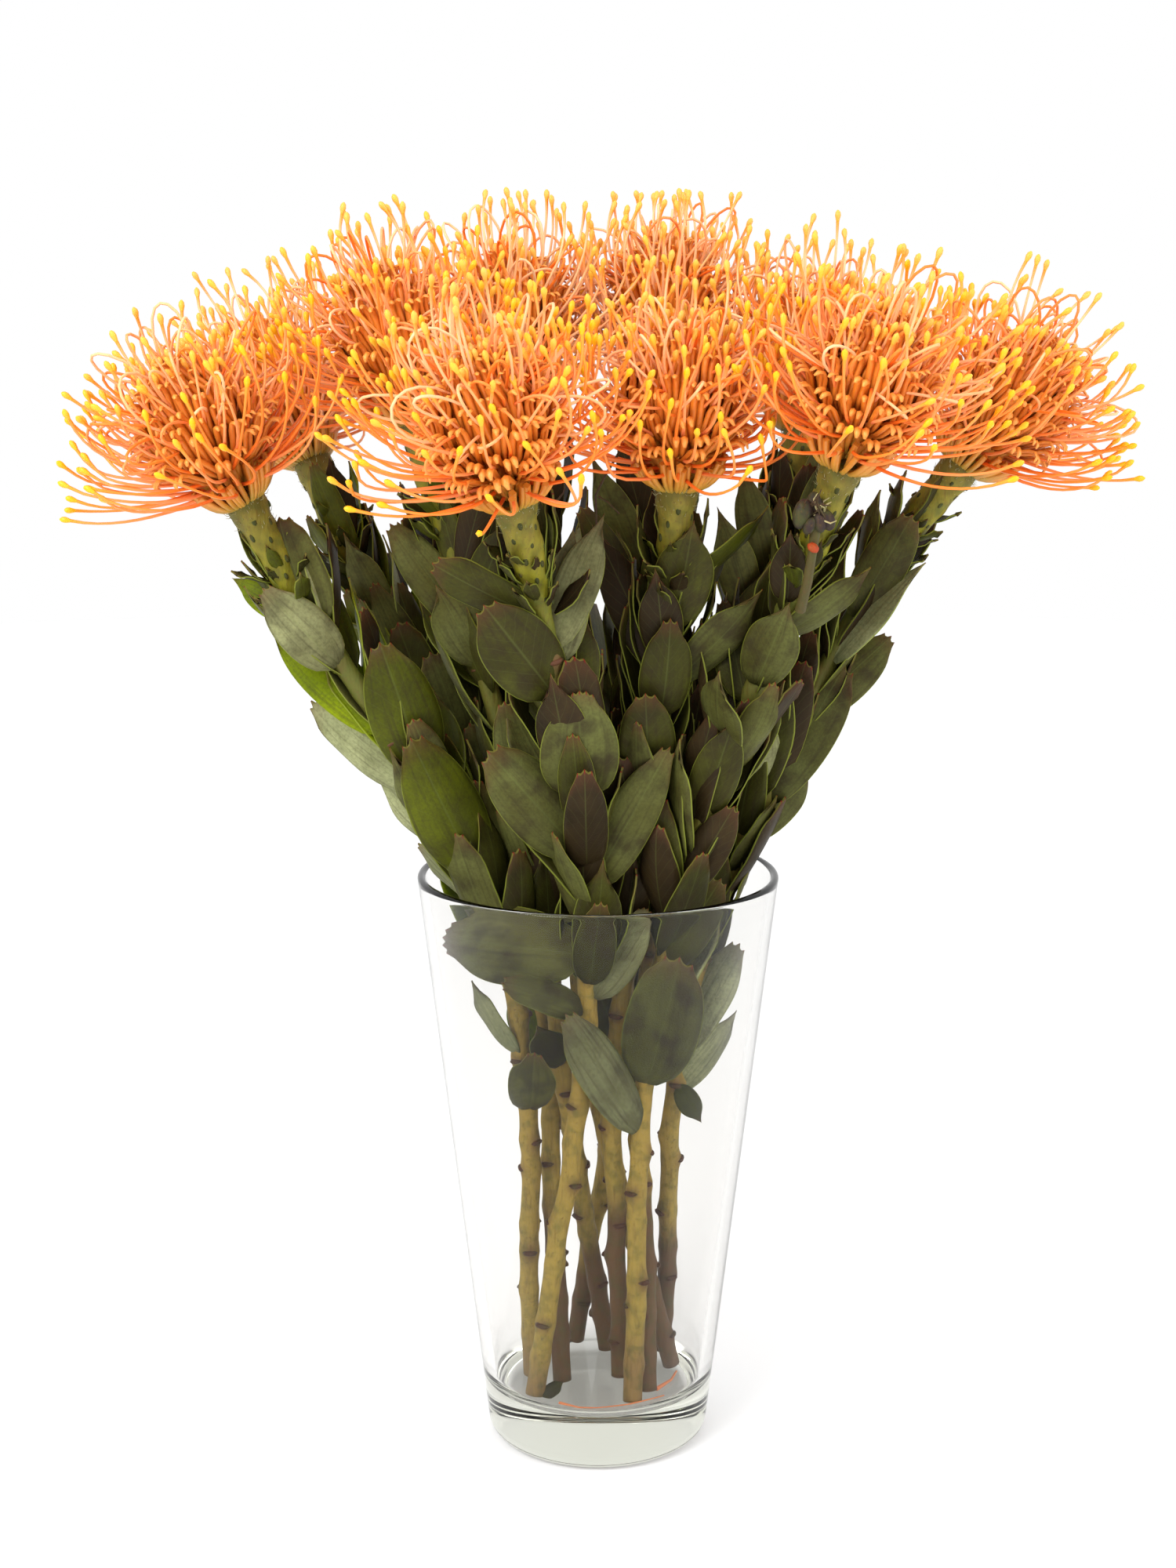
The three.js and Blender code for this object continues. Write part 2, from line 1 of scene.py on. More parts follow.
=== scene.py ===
"""Dresses ten cut pincushion protea stems that stand in a clear, tapered glass vase.

Lengths are millimetres up to the moment that a mesh is made, and metres from there on.
"""

import logging
import math
from dataclasses import dataclass, field
from enum import Enum
from typing import ClassVar, Iterable, NamedTuple

import bpy
import numpy as np
from mathutils import Matrix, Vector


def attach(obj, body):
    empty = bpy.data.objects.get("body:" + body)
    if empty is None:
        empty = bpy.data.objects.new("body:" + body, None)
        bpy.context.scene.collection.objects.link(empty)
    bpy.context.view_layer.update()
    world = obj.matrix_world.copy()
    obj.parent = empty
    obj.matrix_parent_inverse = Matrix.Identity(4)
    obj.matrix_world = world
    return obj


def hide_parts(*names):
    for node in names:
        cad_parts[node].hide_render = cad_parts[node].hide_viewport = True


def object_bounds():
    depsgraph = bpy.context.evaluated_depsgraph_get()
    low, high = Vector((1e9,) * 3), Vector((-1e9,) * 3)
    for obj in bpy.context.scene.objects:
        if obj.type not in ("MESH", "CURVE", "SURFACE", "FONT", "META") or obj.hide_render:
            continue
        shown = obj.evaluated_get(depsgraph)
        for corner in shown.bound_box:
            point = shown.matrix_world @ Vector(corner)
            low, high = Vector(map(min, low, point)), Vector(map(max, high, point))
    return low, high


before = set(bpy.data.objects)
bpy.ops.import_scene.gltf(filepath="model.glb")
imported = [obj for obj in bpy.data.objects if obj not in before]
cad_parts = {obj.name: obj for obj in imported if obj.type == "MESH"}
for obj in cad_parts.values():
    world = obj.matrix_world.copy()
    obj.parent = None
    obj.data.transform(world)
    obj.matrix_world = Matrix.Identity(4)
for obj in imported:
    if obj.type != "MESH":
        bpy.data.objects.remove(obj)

CAD_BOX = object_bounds()
MM = 0.001
GOLDEN_ANGLE = math.pi * (3 - math.sqrt(5))

log = logging.getLogger("pincushion_vase")

Array = np.ndarray
Pair = tuple[float, float]
Point = tuple[float, float, float]
Colour = tuple[float, float, float, float]
Thing = bpy.types.Object
Socket = bpy.types.NodeSocket
Material = bpy.types.Material


def colour(red: int, green: int, blue: int) -> Colour:
    """A display colour, 0 to 255 a channel, as the linear colour that a shader takes."""
    return (*(((v / 255 + 0.055) / 1.055) ** 2.4 for v in (red, green, blue)), 1.0)


def draw(a: float | Array, b: float | Array, c: float | Array) -> float | Array:
    """A repeatable draw from 0 to 1 for three whole numbers, or arrays of them."""
    wave = np.sin(a * 12.9898 + b * 78.233 + c * 37.719) * 43758.5453
    return wave - np.floor(wave)


def mix(start: float | Array, end: float | Array, share: float | Array) -> float | Array:
    """The value a share of the way from start to end."""
    return start + (end - start) * share


def unit(vectors: Array) -> Array:
    """The vectors at length 1."""
    return vectors / np.linalg.norm(vectors, axis=-1, keepdims=True)


def smooth(value: float | Array) -> float | Array:
    """A soft step from 0 at 0 to 1 at 1."""
    value = np.clip(value, 0, 1)
    return value * value * (3 - 2 * value)


def frame_of(axis: Array) -> tuple[Array, Array]:
    """Two directions square to an axis.

    Args:
        axis: one unit vector, or rows of them.

    Returns:
        The level direction across the axis, and the one that completes the frame.
    """
    across = unit(np.cross(np.array([0.0, 1.0, 0.0]), axis))
    return across, np.cross(axis, across)


def outward(axis: Array, turns: float | Array) -> Array:
    """The way out from an axis at a turn about it, or a row of them for rows of axes."""
    across, beyond = frame_of(axis)
    turns = np.asarray(turns)[..., None]
    return across * np.cos(turns) + beyond * np.sin(turns)


def circle(sides: int) -> Array:
    """Angles that are evenly spread round a circle."""
    return np.arange(sides) * 2 * math.pi / sides


def turned(vector: Array, axis: Array, angle: float) -> Array:
    """A vector turned about a unit axis by an angle in radians."""
    cosine, sine = math.cos(angle), math.sin(angle)
    return vector * cosine + np.cross(axis, vector) * sine + axis * (axis @ vector) * (1 - cosine)


# The vase, its stems and its heads, with the sizes of the solids that they replace.


@dataclass(frozen=True)
class VaseSizes:
    """The glass in millimetres."""

    height: float = 225.5
    rim_radius: float = 68.5
    base_radius: float = 43.2
    base_corner: float = 6.5
    floor_height: float = 21.0
    floor_radius: float = 33.0
    floor_corner: float = 8.0
    floor_corner_steps: int = 2
    wall: float = 3.1

    def wall_at(self, height: float | Array) -> float | Array:
        """Radius of the wall's outside at a height."""
        share = (height - self.base_corner) / (self.height - self.base_corner)
        return mix(self.base_radius, self.rim_radius, share)

    def floor_at(self, distance: float) -> float:
        """Height of the solid's floor at a distance from the axis."""
        angles = np.linspace(0, math.pi / 2, self.floor_corner_steps + 1)
        radii = np.append(0, self.floor_radius + self.floor_corner * np.sin(angles))
        heights = self.floor_height + self.floor_corner * (1 - np.cos(angles))
        return float(np.interp(distance, radii, np.append(self.floor_height, heights)))


@dataclass(frozen=True)
class StemSizes:
    """A stem in millimetres."""

    radius: float = 3.6
    neck_radius: float = 5.0
    collar_radius: float = 7.4
    neck_length: float = 44.0
    collar_length: float = 9.0
    sides: int = 6
    waist_height: float = 150.0
    seat_gap: float = 0.3


VASE = VaseSizes()
STEM = StemSizes()


@dataclass(frozen=True)
class Flower:
    """Where one stem stands and where its head sits, in millimetres.

    The foot, the waist and the rim are its places on the vase's floor, at the waist of the
    bunch and at the rim. The dark foot is the length of bark that has turned dark brown.
    """

    foot: Pair
    waist: Pair
    rim: Pair
    head: Point
    faces: Point
    dark_foot: float


FLOWERS = (
    Flower((-26, 0), (-28, -8), (-44, -13), (-125, -40, 369), (-0.44, -0.16, 0.88), 8),
    Flower((-14, -7), (-21, 11), (-34, 16), (-111, 45, 378), (-0.4, 0.24, 0.88), 62),
    Flower((-24, -19), (-6, -18), (-4, -29), (-29, -85, 373), (-0.2, -0.42, 0.88), 6),
    Flower((4, 23), (-14, -3), (-24, -3), (-66, -12, 396), (-0.26, -0.04, 0.96), 44),
    Flower((9, -1), (6, -8), (15, -15), (27, -50, 375), (0.02, -0.2, 0.98), 66),
    Flower((-9, 31), (9, 14), (11, 18), (25, 50, 408), (0.06, 0.24, 0.97), 30),
    Flower((30, 6), (-5, 10), (-9, 16), (-29, 40, 402), (-0.12, 0.14, 0.98), 40),
    Flower((13, -24), (18, -13), (30, -22), (83, -62, 383), (0.28, -0.3, 0.91), 16),
    Flower((19, -15), (17, 5), (28, 8), (77, 26, 390), (0.16, 0.16, 0.97), 70),
    Flower((27, 20), (31, 0), (50, 0), (133, -2, 379), (0.6, -0.05, 0.8), 48),
)


class LeafLook(Enum):
    """How the blade of a leaf looks in this light, with light and shade painted into some of its greens: its
    two greens, and how blotched it is.
    """

    # Painted light and shade: the bright yellow-green look is light through the blade from behind, the
    # silvery look a sheen and the pale look light, all painted; the dark and brown looks also paint shade on
    # leaves deep in the bunch.
    DULL = (colour(94, 97, 50), colour(72, 71, 30), 0.85)
    DARK = (colour(66, 67, 22), colour(47, 45, 14), 0.7)
    BACKLIT = (colour(128, 144, 4), colour(92, 107, 3), 0.1)
    OLIVE = (colour(80, 86, 12), colour(60, 64, 9), 0.4)
    SHEEN = (colour(166, 170, 122), colour(126, 130, 88), 0.25)
    LIT = (colour(132, 134, 92), colour(104, 104, 66), 0.6)
    BROWN = (colour(54, 42, 22), colour(36, 28, 12), 0.9)

    @property
    def greens(self) -> tuple[Colour, Colour]:
        """The blade's two greens."""
        return self.value[:2]

    @property
    def blotch(self) -> float:
        """How blotched the blade is, 0 to 1."""
        return self.value[2]


DULL, DARK, BACKLIT, OLIVE, SHEEN, LIT, BROWN = LeafLook


class FrontLeaf(NamedTuple):
    """A broad leaf on the near side, in millimetres, with its roll in degrees.

    The height is that of its root on the stem. Right, back and up lead from the root to the tip.
    """

    stem: int
    height: float
    right: float
    back: float
    up: float
    width: float
    roll: float
    look: LeafLook
    teeth: int


FRONT_LEAF_ROWS = (
    (0, 309, -24, -10, 28, 19, 0, LIT, 3),
    (0, 322, -12, -12, 36, 20, -20, DULL, 3),
    (0, 326, -28, 8, 13, 13, 0, BACKLIT, 1),
    (0, 283, -40, 6, 39, 20, 0, BACKLIT, 3),
    (0, 266, -14, -10, 48, 25, 8, OLIVE, 3),
    (0, 229, -22, -12, 52, 26, 0, OLIVE, 3),
    (0, 215, -25, -3, 22, 16, -50, SHEEN, 3),
    (7, 222, 18, -10, 34, 15, 0, BROWN, 3),
    (0, 234, -35, 6, 31, 15, -55, SHEEN, 1),
    (0, 258, -44, 4, 33, 16, -50, SHEEN, 3),
    (0, 156, -17, 2, 27, 10, -50, SHEEN, 1),
    (1, 262, -13, -8, 43, 17, 20, DULL, 3),
    (1, 308, -7, 4, 39, 17, 75, LIT, 1),
    (3, 318, -28, 0, 38, 16, 0, DULL, 3),
    (1, 153, -12, 4, 20, 13, 0, BACKLIT, 1),
    (2, 331, -34, -6, 18, 15, -40, DARK, 3),
    (2, 302, -24, -14, 35, 25, 0, DARK, 3),
    (2, 312, 6, -12, 44, 18, 0, LIT, 1),
    (2, 262, 0, -18, 40, 27, 0, DULL, 5),
    (2, 240, -32, -12, 40, 24, 0, DULL, 3),
    (2, 219, -34, -2, 46, 18, 70, DARK, 1),
    (2, 226, 27, -10, 52, 18, 0, DULL, 3),
    (2, 199, -50, 6, 5, 28, 0, DULL, 5),
    (2, 188, 4, -16, 34, 15, 0, DARK, 3),
    (2, 177, -36, -8, 19, 15, 20, DULL, 3),
    (3, 306, -15, -8, 29, 18, 0, DULL, 1),
    (3, 208, -15, -14, 32, 21, 0, DULL, 3),
    (3, 150, -9, -6, 22, 14, 0, DARK, 1),
    (4, 324, 6, -12, 37, 20, 0, DARK, 1),
    (4, 302, 31, -10, 34, 15, 35, DULL, 1),
    (4, 214, 17, -4, 46, 15, 55, DULL, 1),
    (4, 338, 30, -2, 27, 12, 60, OLIVE, 1),
    (2, 182, 23, -6, 38, 19, 0, LIT, 5),
    (7, 303, 10, -14, 30, 19, 0, DULL, 1),
    (9, 258, -3, -12, 32, 13, 10, LIT, 1),
    (7, 333, 0, -10, 25, 13, 0, BROWN, 1),
    (7, 322, 29, -4, 23, 13, 50, DULL, 1),
    (7, 127, -26, -18, 50, 18, 10, LIT, 3),
    (7, 146, 11, -16, 52, 27, 0, DULL, 3),
    (8, 140, -16, -6, 40, 24, 0, DARK, 3),
    (6, 182, -4, -6, 46, 18, 0, DULL, 1),
    (7, 192, 20, -4, 34, 16, 0, DARK, 3),
    (8, 283, 30, -6, 33, 15, 60, DULL, 1),
    (9, 252, 29, -6, 50, 22, 0, DULL, 3),
    (9, 226, 15, -6, 29, 15, 60, DULL, 1),
    (9, 238, 26, 6, 27, 18, 0, DULL, 3),
    (9, 306, 31, -8, 36, 15, -40, SHEEN, 1),
    (9, 322, 19, -8, 38, 17, 0, DULL, 3),
    (9, 285, 33, 8, 28, 18, 0, DULL, 3),
    (9, 155, 20, -2, 41, 17, -30, SHEEN, 3),
    (9, 138, 22, 2, 30, 13, 25, SHEEN, 1),
    (9, 141, 9, -4, -13, 9, 0, OLIVE, 1),
    (6, 332, 0, -8, 36, 12, 0, DARK, 1),
    (6, 344, 2, -12, 38, 13, 20, BROWN, 3),
    (6, 308, 14, -6, 46, 15, -15, LIT, 3),
    (5, 330, -20, -8, 48, 15, -10, DULL, 1),
    (5, 316, -24, -12, 46, 14, 15, DARK, 3),
    (5, 345, -12, -8, 42, 12, 0, BROWN, 1),
    (5, 322, 12, -10, 46, 15, 0, DARK, 1),
    (8, 332, -10, -10, 40, 14, 0, DULL, 3),
    (8, 316, -14, -12, 44, 15, 10, DULL, 1),
    (3, 325, 16, -8, 40, 14, 0, DARK, 1),
    (3, 340, 10, -8, 36, 12, 0, BROWN, 1),
    (2, 318, 17, 8, 44, 15, 0, LIT, 1),
    (2, 290, 4, -14, 34, 18, 0, DARK, 3),
    (4, 312, -4, -12, 34, 15, 0, BROWN, 1),
    (4, 290, 3, -14, 38, 18, 10, DARK, 3),
    (4, 262, -2, -14, 40, 20, 0, DARK, 3),
    (4, 238, -8, -14, 38, 18, 0, BROWN, 3),
    (7, 296, -8, -6, 34, 15, 0, DARK, 3),
    (4, 306, -24, 8, 50, 16, 0, BROWN, 1),
)
FRONT_LEAVES = [FrontLeaf(*row) for row in FRONT_LEAF_ROWS]


# Meshes


def make_mesh(
    name: str,
    points: Array,
    faces: list,
    marks: dict[str, Array] | None = None,
    flat_faces: Array | None = None,
) -> Thing:
    """Makes one object, at the origin, from points in millimetres.

    Args:
        name: the object's name.
        points: the corners, a row each.
        faces: the corners of each face, in order round its outside. A pair is an edge alone.
        marks: values for each corner, by name: one number, three, or a colour of four.
        flat_faces: which faces aren't shaded smooth.

    Returns:
        The object, linked to the scene.
    """
    mesh = bpy.data.meshes.new(name)
    edges = [f for f in faces if len(f) == 2]
    mesh.from_pydata((np.asarray(points) * MM).tolist(), edges, [f for f in faces if len(f) > 2])
    kinds = {1: ("FLOAT", "value"), 3: ("FLOAT_VECTOR", "vector"), 4: ("FLOAT_COLOR", "color")}
    for key, values in (marks or {}).items():
        values = np.asarray(values, dtype=np.float32)
        kind, holds = kinds[1 if values.ndim == 1 else values.shape[1]]
        mesh.attributes.new(key, kind, "POINT").data.foreach_set(holds, values.ravel())
    mesh.shade_smooth()
    if flat_faces is not None:
        flats = mesh.attributes.new("sharp_face", "BOOLEAN", "FACE")
        flats.data.foreach_set("value", np.asarray(flat_faces, dtype=bool))
    mesh.update()
    thing = bpy.data.objects.new(name, mesh)
    bpy.context.scene.collection.objects.link(thing)
    return thing


def loft_faces(rings: int, sides: int) -> list:
    """Faces of a closed body through rings of corners.

    Args:
        rings: how many rings there are.
        sides: how many corners a ring has.

    Returns:
        The sides, then a cap for the first ring and one for the last.
    """
    faces = []
    for i in range(rings - 1):
        for j in range(sides):
            a, b = i * sides + j, i * sides + (j + 1) % sides
            faces.append((a, b, b + sides, a + sides))
    last = (rings - 1) * sides
    faces.append(tuple(reversed(range(sides))))
    faces.append(tuple(range(last, last + sides)))
    return faces


def line_edges(count: int, points: int) -> list:
    """Edges that join the points of each of several lines, one line after another."""
    return [(k * points + i, k * points + i + 1) for k in range(count) for i in range(points - 1)]


def joined(name: str, things: list[Thing]) -> Thing:
    """Joins plain meshes, all at the origin.

    Args:
        name: the name of the result.
        things: the meshes, of which the first takes in the others.

    Returns:
        The first object, with all of them in its mesh.
    """
    with bpy.context.temp_override(
        active_object=things[0], object=things[0], selected_editable_objects=things
    ):
        bpy.ops.object.join()
    things[0].name = name
    things[0].data.name = name
    return things[0]


def discard(thing: Thing) -> None:
    """Removes an object and its mesh."""
    mesh = thing.data
    bpy.data.objects.remove(thing)
    bpy.data.meshes.remove(mesh)


# Geometry trees


class GeometryTree:
    """A tree that takes geometry and named sizes, and hands on finished meshes."""

    def __init__(self, name: str, inputs: dict[str, tuple[str, object]]) -> None:
        """Starts the tree.

        Args:
            name: the tree's name.
            inputs: each input's kind of socket and default, by its name.
        """
        self.group = bpy.data.node_groups.new(name, "GeometryNodeTree")
        sockets = self.group.interface
        sockets.new_socket("Geometry", in_out="INPUT", socket_type="NodeSocketGeometry")
        for label, (kind, default) in inputs.items():
            socket = sockets.new_socket(label, in_out="INPUT", socket_type=f"NodeSocket{kind}")
            if default is not None:
                socket.default_value = default
        sockets.new_socket("Geometry", in_out="OUTPUT", socket_type="NodeSocketGeometry")
        self.start = self.add("NodeGroupInput")

    def add(self, kind: str, links: dict | None = None, **settings: object) -> bpy.types.Node:
        """Adds a node.

        Args:
            kind: the node's type.
            links: for its inputs, by name or number, an output socket to join or a value to set.
            settings: the node's own properties.

        Returns:
            The node.
        """
        node = self.group.nodes.new(kind)
        for key, value in settings.items():
            setattr(node, key, value)
        for key, value in (links or {}).items():
            if isinstance(value, Socket):
                self.group.links.new(value, node.inputs[key])
            else:
                node.inputs[key].default_value = value
        return node

    def named(self, label: str, kind: str = "FLOAT") -> Socket:
        """The values that the points carry under a name."""
        node = self.add("GeometryNodeInputNamedAttribute", {"Name": label}, data_type=kind)
        return node.outputs["Attribute"]

    def close(self, geometry: Socket) -> None:
        """Ends the tree with smooth shading, real meshes and the finish."""
        shaded = self.add("GeometryNodeSetShadeSmooth", {"Geometry": geometry})
        real = self.add("GeometryNodeRealizeInstances", {"Geometry": shaded.outputs[0]})
        finish = {"Geometry": real.outputs[0], "Material": self.start.outputs["Finish"]}
        painted = self.add("GeometryNodeSetMaterial", finish)
        self.add("NodeGroupOutput", {"Geometry": painted.outputs[0]})

    def run(self, thing: Thing, **values: object) -> Thing:
        """Runs the tree on an object and leaves its result there as a plain mesh.

        Args:
            thing: the object that holds the points or lines.
            values: the tree's inputs, by name.

        Returns:
            The same object, with its new mesh and no modifier.
        """
        modifier = thing.modifiers.new(self.group.name, "NODES")
        modifier.node_group = self.group
        for item in self.group.interface.items_tree:
            if item.in_out == "INPUT" and item.name in values:
                modifier[item.identifier] = values[item.name]
        graph = bpy.context.evaluated_depsgraph_get()
        done = thing.evaluated_get(graph)
        mesh = bpy.data.meshes.new_from_object(done, preserve_all_data_layers=True, depsgraph=graph)
        thing.modifiers.clear()
        old = thing.data
        thing.data = mesh
        bpy.data.meshes.remove(old)
        return thing


class SweepTree(GeometryTree):
    """Round stems along lines, as thick at each point as its mark named girth says."""

    def __init__(self) -> None:
        """Builds the tree."""
        super().__init__(
            "sweep_along_lines",
            {"Sides": ("Int", 5), "Thickness": ("Float", 1.0), "Finish": ("Material", None)},
        )
        lines = self.add("GeometryNodeMeshToCurve", {"Mesh": self.start.outputs["Geometry"]})
        sizes = {"Resolution": self.start.outputs["Sides"], "Radius": MM}
        section = self.add("GeometryNodeCurvePrimitiveCircle", sizes)
        factors = {0: self.named("girth"), 1: self.start.outputs["Thickness"]}
        girth = self.add("ShaderNodeMath", factors, operation="MULTIPLY")
        curves = {"Curve": lines.outputs[0], "Profile Curve": section.outputs["Curve"]}
        thick = {"Scale": girth.outputs[0], "Fill Caps": True}
        self.close(self.add("GeometryNodeCurveToMesh", {**curves, **thick}).outputs[0])

    def along(
        self,
        name: str,
        lines: Array,
        sides: int,
        finish: Material,
        tone: Colour | None = None,
        **marks: float | Array,
    ) -> Thing:
        """Makes round stems along lines that have the same number of points each.

        Args:
            name: the new object's name.
            lines: the points in millimetres, a row of them for each line.
            sides: how many sides a stem has.
            finish: the material.
            tone: the colour, where the finish takes it from the mesh.
            marks: values by name: a row, one for each point, or a column, one for each line.

        Returns:
            The stems as one mesh.
        """
        shape = lines.shape[:2]
        values = {key: np.broadcast_to(value, shape).ravel() for key, value in marks.items()}
        if tone:
            values["tone"] = np.tile(tone, (shape[0] * shape[1], 1))
        thing = make_mesh(name, lines.reshape(-1, 3), line_edges(*shape), values)
        return self.run(thing, Sides=sides, Finish=finish)


class ScatterTree(GeometryTree):
    """One small piece at each point, turned and sized by the marks named turn and size."""

    def __init__(self) -> None:
        """Builds the tree."""
        super().__init__(
            "scatter_on_points",
            {
                "Piece": ("Object", None),
                "Size": ("Float", 1.0),
                "Seed": ("Int", 7),
                "Finish": ("Material", None),
            },
        )
        piece = self.add("GeometryNodeObjectInfo", {"Object": self.start.outputs["Piece"]})
        rotation = self.add("FunctionNodeEulerToRotation", {0: self.named("turn", "FLOAT_VECTOR")})
        factors = {0: self.named("size", "FLOAT_VECTOR"), "Scale": self.start.outputs["Size"]}
        size = self.add("ShaderNodeVectorMath", factors, operation="SCALE")
        what = {"Points": self.start.outputs["Geometry"], "Instance": piece.outputs["Geometry"]}
        how = {"Rotation": rotation.outputs[0], "Scale": size.outputs[0]}
        placed = self.add("GeometryNodeInstanceOnPoints", {**what, **how})
        seed = {"Seed": self.start.outputs["Seed"]}
        chance = self.add("FunctionNodeRandomValue", seed, data_type="FLOAT").outputs["Value"]
        tint = {"Geometry": placed.outputs[0], "Name": "tint", "Value": chance}
        kinds = {"data_type": "FLOAT", "domain": "INSTANCE"}
        self.close(self.add("GeometryNodeStoreNamedAttribute", tint, **kinds).outputs[0])


def euler_rows(across: Array, up: Array, out: Array) -> Array:
    """The turn of each of several pieces.

    Args:
        across: where each piece's X points, a unit row each.
        up: where its Y points.
        out: where its Z points.

    Returns:
        A row of three angles for each piece.
    """
    turns = np.stack([across, up, out], axis=-1)
    return np.array([Matrix(turn.tolist()).to_euler() for turn in turns])


# Finishes


class Paint:
    """A node material, built a node at a time round one shader."""

    def __init__(self, name: str, sockets: dict[str, object]) -> None:
        """Starts the material.

        Args:
            name: the material's name.
            sockets: values that are the same all over, by the shader's socket names.
        """
        self.material = bpy.data.materials.new(name)
        self.material.use_nodes = True
        self.tree = self.material.node_tree
        self.tree.nodes.clear()
        self.shader = self.add("ShaderNodeBsdfPrincipled")
        for key, value in sockets.items():
            self.shader.inputs[key].default_value = value
        self.output = self.add("ShaderNodeOutputMaterial")
        self.join(self.shader.outputs[0], self.output.inputs["Surface"])
        self.place = self.add("ShaderNodeTexCoord").outputs["Object"]

    def add(self, kind: str, **settings: object) -> bpy.types.Node:
        """Adds a node with its own properties."""
        node = self.tree.nodes.new(kind)
        for key, value in settings.items():
            setattr(node, key, value)
        return node

    def join(self, source: Socket, target: Socket) -> None:
        """Links an output to an input."""
        self.tree.links.new(source, target)

    def feed(self, socket: Socket, value: object) -> None:
        """Links an output to an input, or sets the input to a value."""
        if isinstance(value, Socket):
            self.join(value, socket)
        else:
            socket.default_value = value

    def mark(self, label: str, part: str = "Fac") -> Socket:
        """The values that the mesh carries under a name, as Fac, Color or Vector."""
        return self.add("ShaderNodeAttribute", attribute_name=label).outputs[part]

    def math(self, operation: str, first: object, second: object = 0.0) -> Socket:
        """Works out one number from one or two."""
        node = self.add("ShaderNodeMath", operation=operation)
        self.feed(node.inputs[0], first)
        self.feed(node.inputs[1], second)
        return node.outputs[0]

    def times(self, first: object, second: object) -> Socket:
        """One number times another."""
        return self.math("MULTIPLY", first, second)

    def band(self, value: Socket, low: float, high: float) -> Socket:
        """A clamped rise from 0 at low to 1 at high, or a fall where low is above high."""
        node = self.add("ShaderNodeMapRange", clamp=True)
        self.feed(node.inputs["Value"], value)
        node.inputs["From Min"].default_value = low
        node.inputs["From Max"].default_value = high
        return node.outputs["Result"]

    def blend(self, share: object, first: object, second: object) -> Socket:
        """One colour from two, by the share of the second."""
        node = self.add("ShaderNodeMix", data_type="RGBA", blend_type="MIX")
        self.feed(node.inputs[0], share)
        self.feed(node.inputs[6], first)
        self.feed(node.inputs[7], second)
        return node.outputs[2]

    def ramp(self, value: Socket, stops: list[tuple[float, Colour]]) -> Socket:
        """A colour that changes with a value through several stops."""
        node = self.add("ShaderNodeValToRGB")
        line = node.color_ramp.elements
        while len(line) < len(stops):
            line.new(1.0)
        for stop, (at, shade) in zip(line, stops):
            stop.position = at
            stop.color = shade
        self.join(value, node.inputs[0])
        return node.outputs[0]

    def noise(
        self, scale: float, detail: float = 2.0, stretch: tuple = (1, 1, 1), place: object = None
    ) -> Socket:
        """Cloudy grain.

        Args:
            scale: how many waves go to the metre, or to the unit of another place.
            detail: how many finer layers lie on it.
            stretch: how much denser it is along each direction.
            place: where it is read, if not at the object's own coordinates.

        Returns:
            The grain, 0 to 1.
        """
        mapping = self.add("ShaderNodeMapping")
        self.join(place or self.place, mapping.inputs["Vector"])
        mapping.inputs["Scale"].default_value = stretch
        node = self.add("ShaderNodeTexNoise")
        self.join(mapping.outputs[0], node.inputs["Vector"])
        node.inputs["Scale"].default_value = scale
        node.inputs["Detail"].default_value = detail
        return node.outputs[0]

    def colour_from(self, socket: Socket) -> None:
        """Gives the shader its colour."""
        self.join(socket, self.shader.inputs["Base Color"])

    def relief(self, height: Socket, strength: float, depth: float) -> None:
        """Gives the shader a fine relief, with its depth in metres."""
        node = self.add("ShaderNodeBump")
        self.join(height, node.inputs["Height"])
        node.inputs["Strength"].default_value = strength
        node.inputs["Distance"].default_value = depth
        self.join(node.outputs[0], self.shader.inputs["Normal"])


@dataclass(frozen=True)
class GlassFinish:
    """Clear soda glass with a faint green-grey cast."""

    tint: Colour = (0.9, 0.896, 0.89, 1.0)
    roughness: float = 0.0
    bend: float = 1.44
    gloss: Colour = (0.25, 0.25, 0.25, 1.0)
    depth_tint: Colour = (0.8, 0.82, 0.7, 1.0)
    depth_density: float = 11.0

    def make(self) -> Material:
        """Builds the material."""
        sockets = {"Base Color": self.tint, "Roughness": self.roughness, "IOR": self.bend}
        paint = Paint("clear_glass", {**sockets, "Transmission Weight": 1.0, "Specular Tint": self.gloss})
        depth = paint.add("ShaderNodeVolumeAbsorption")
        depth.inputs["Color"].default_value = self.depth_tint
        depth.inputs["Density"].default_value = self.depth_density
        paint.join(depth.outputs[0], paint.output.inputs["Volume"])
        return paint.material


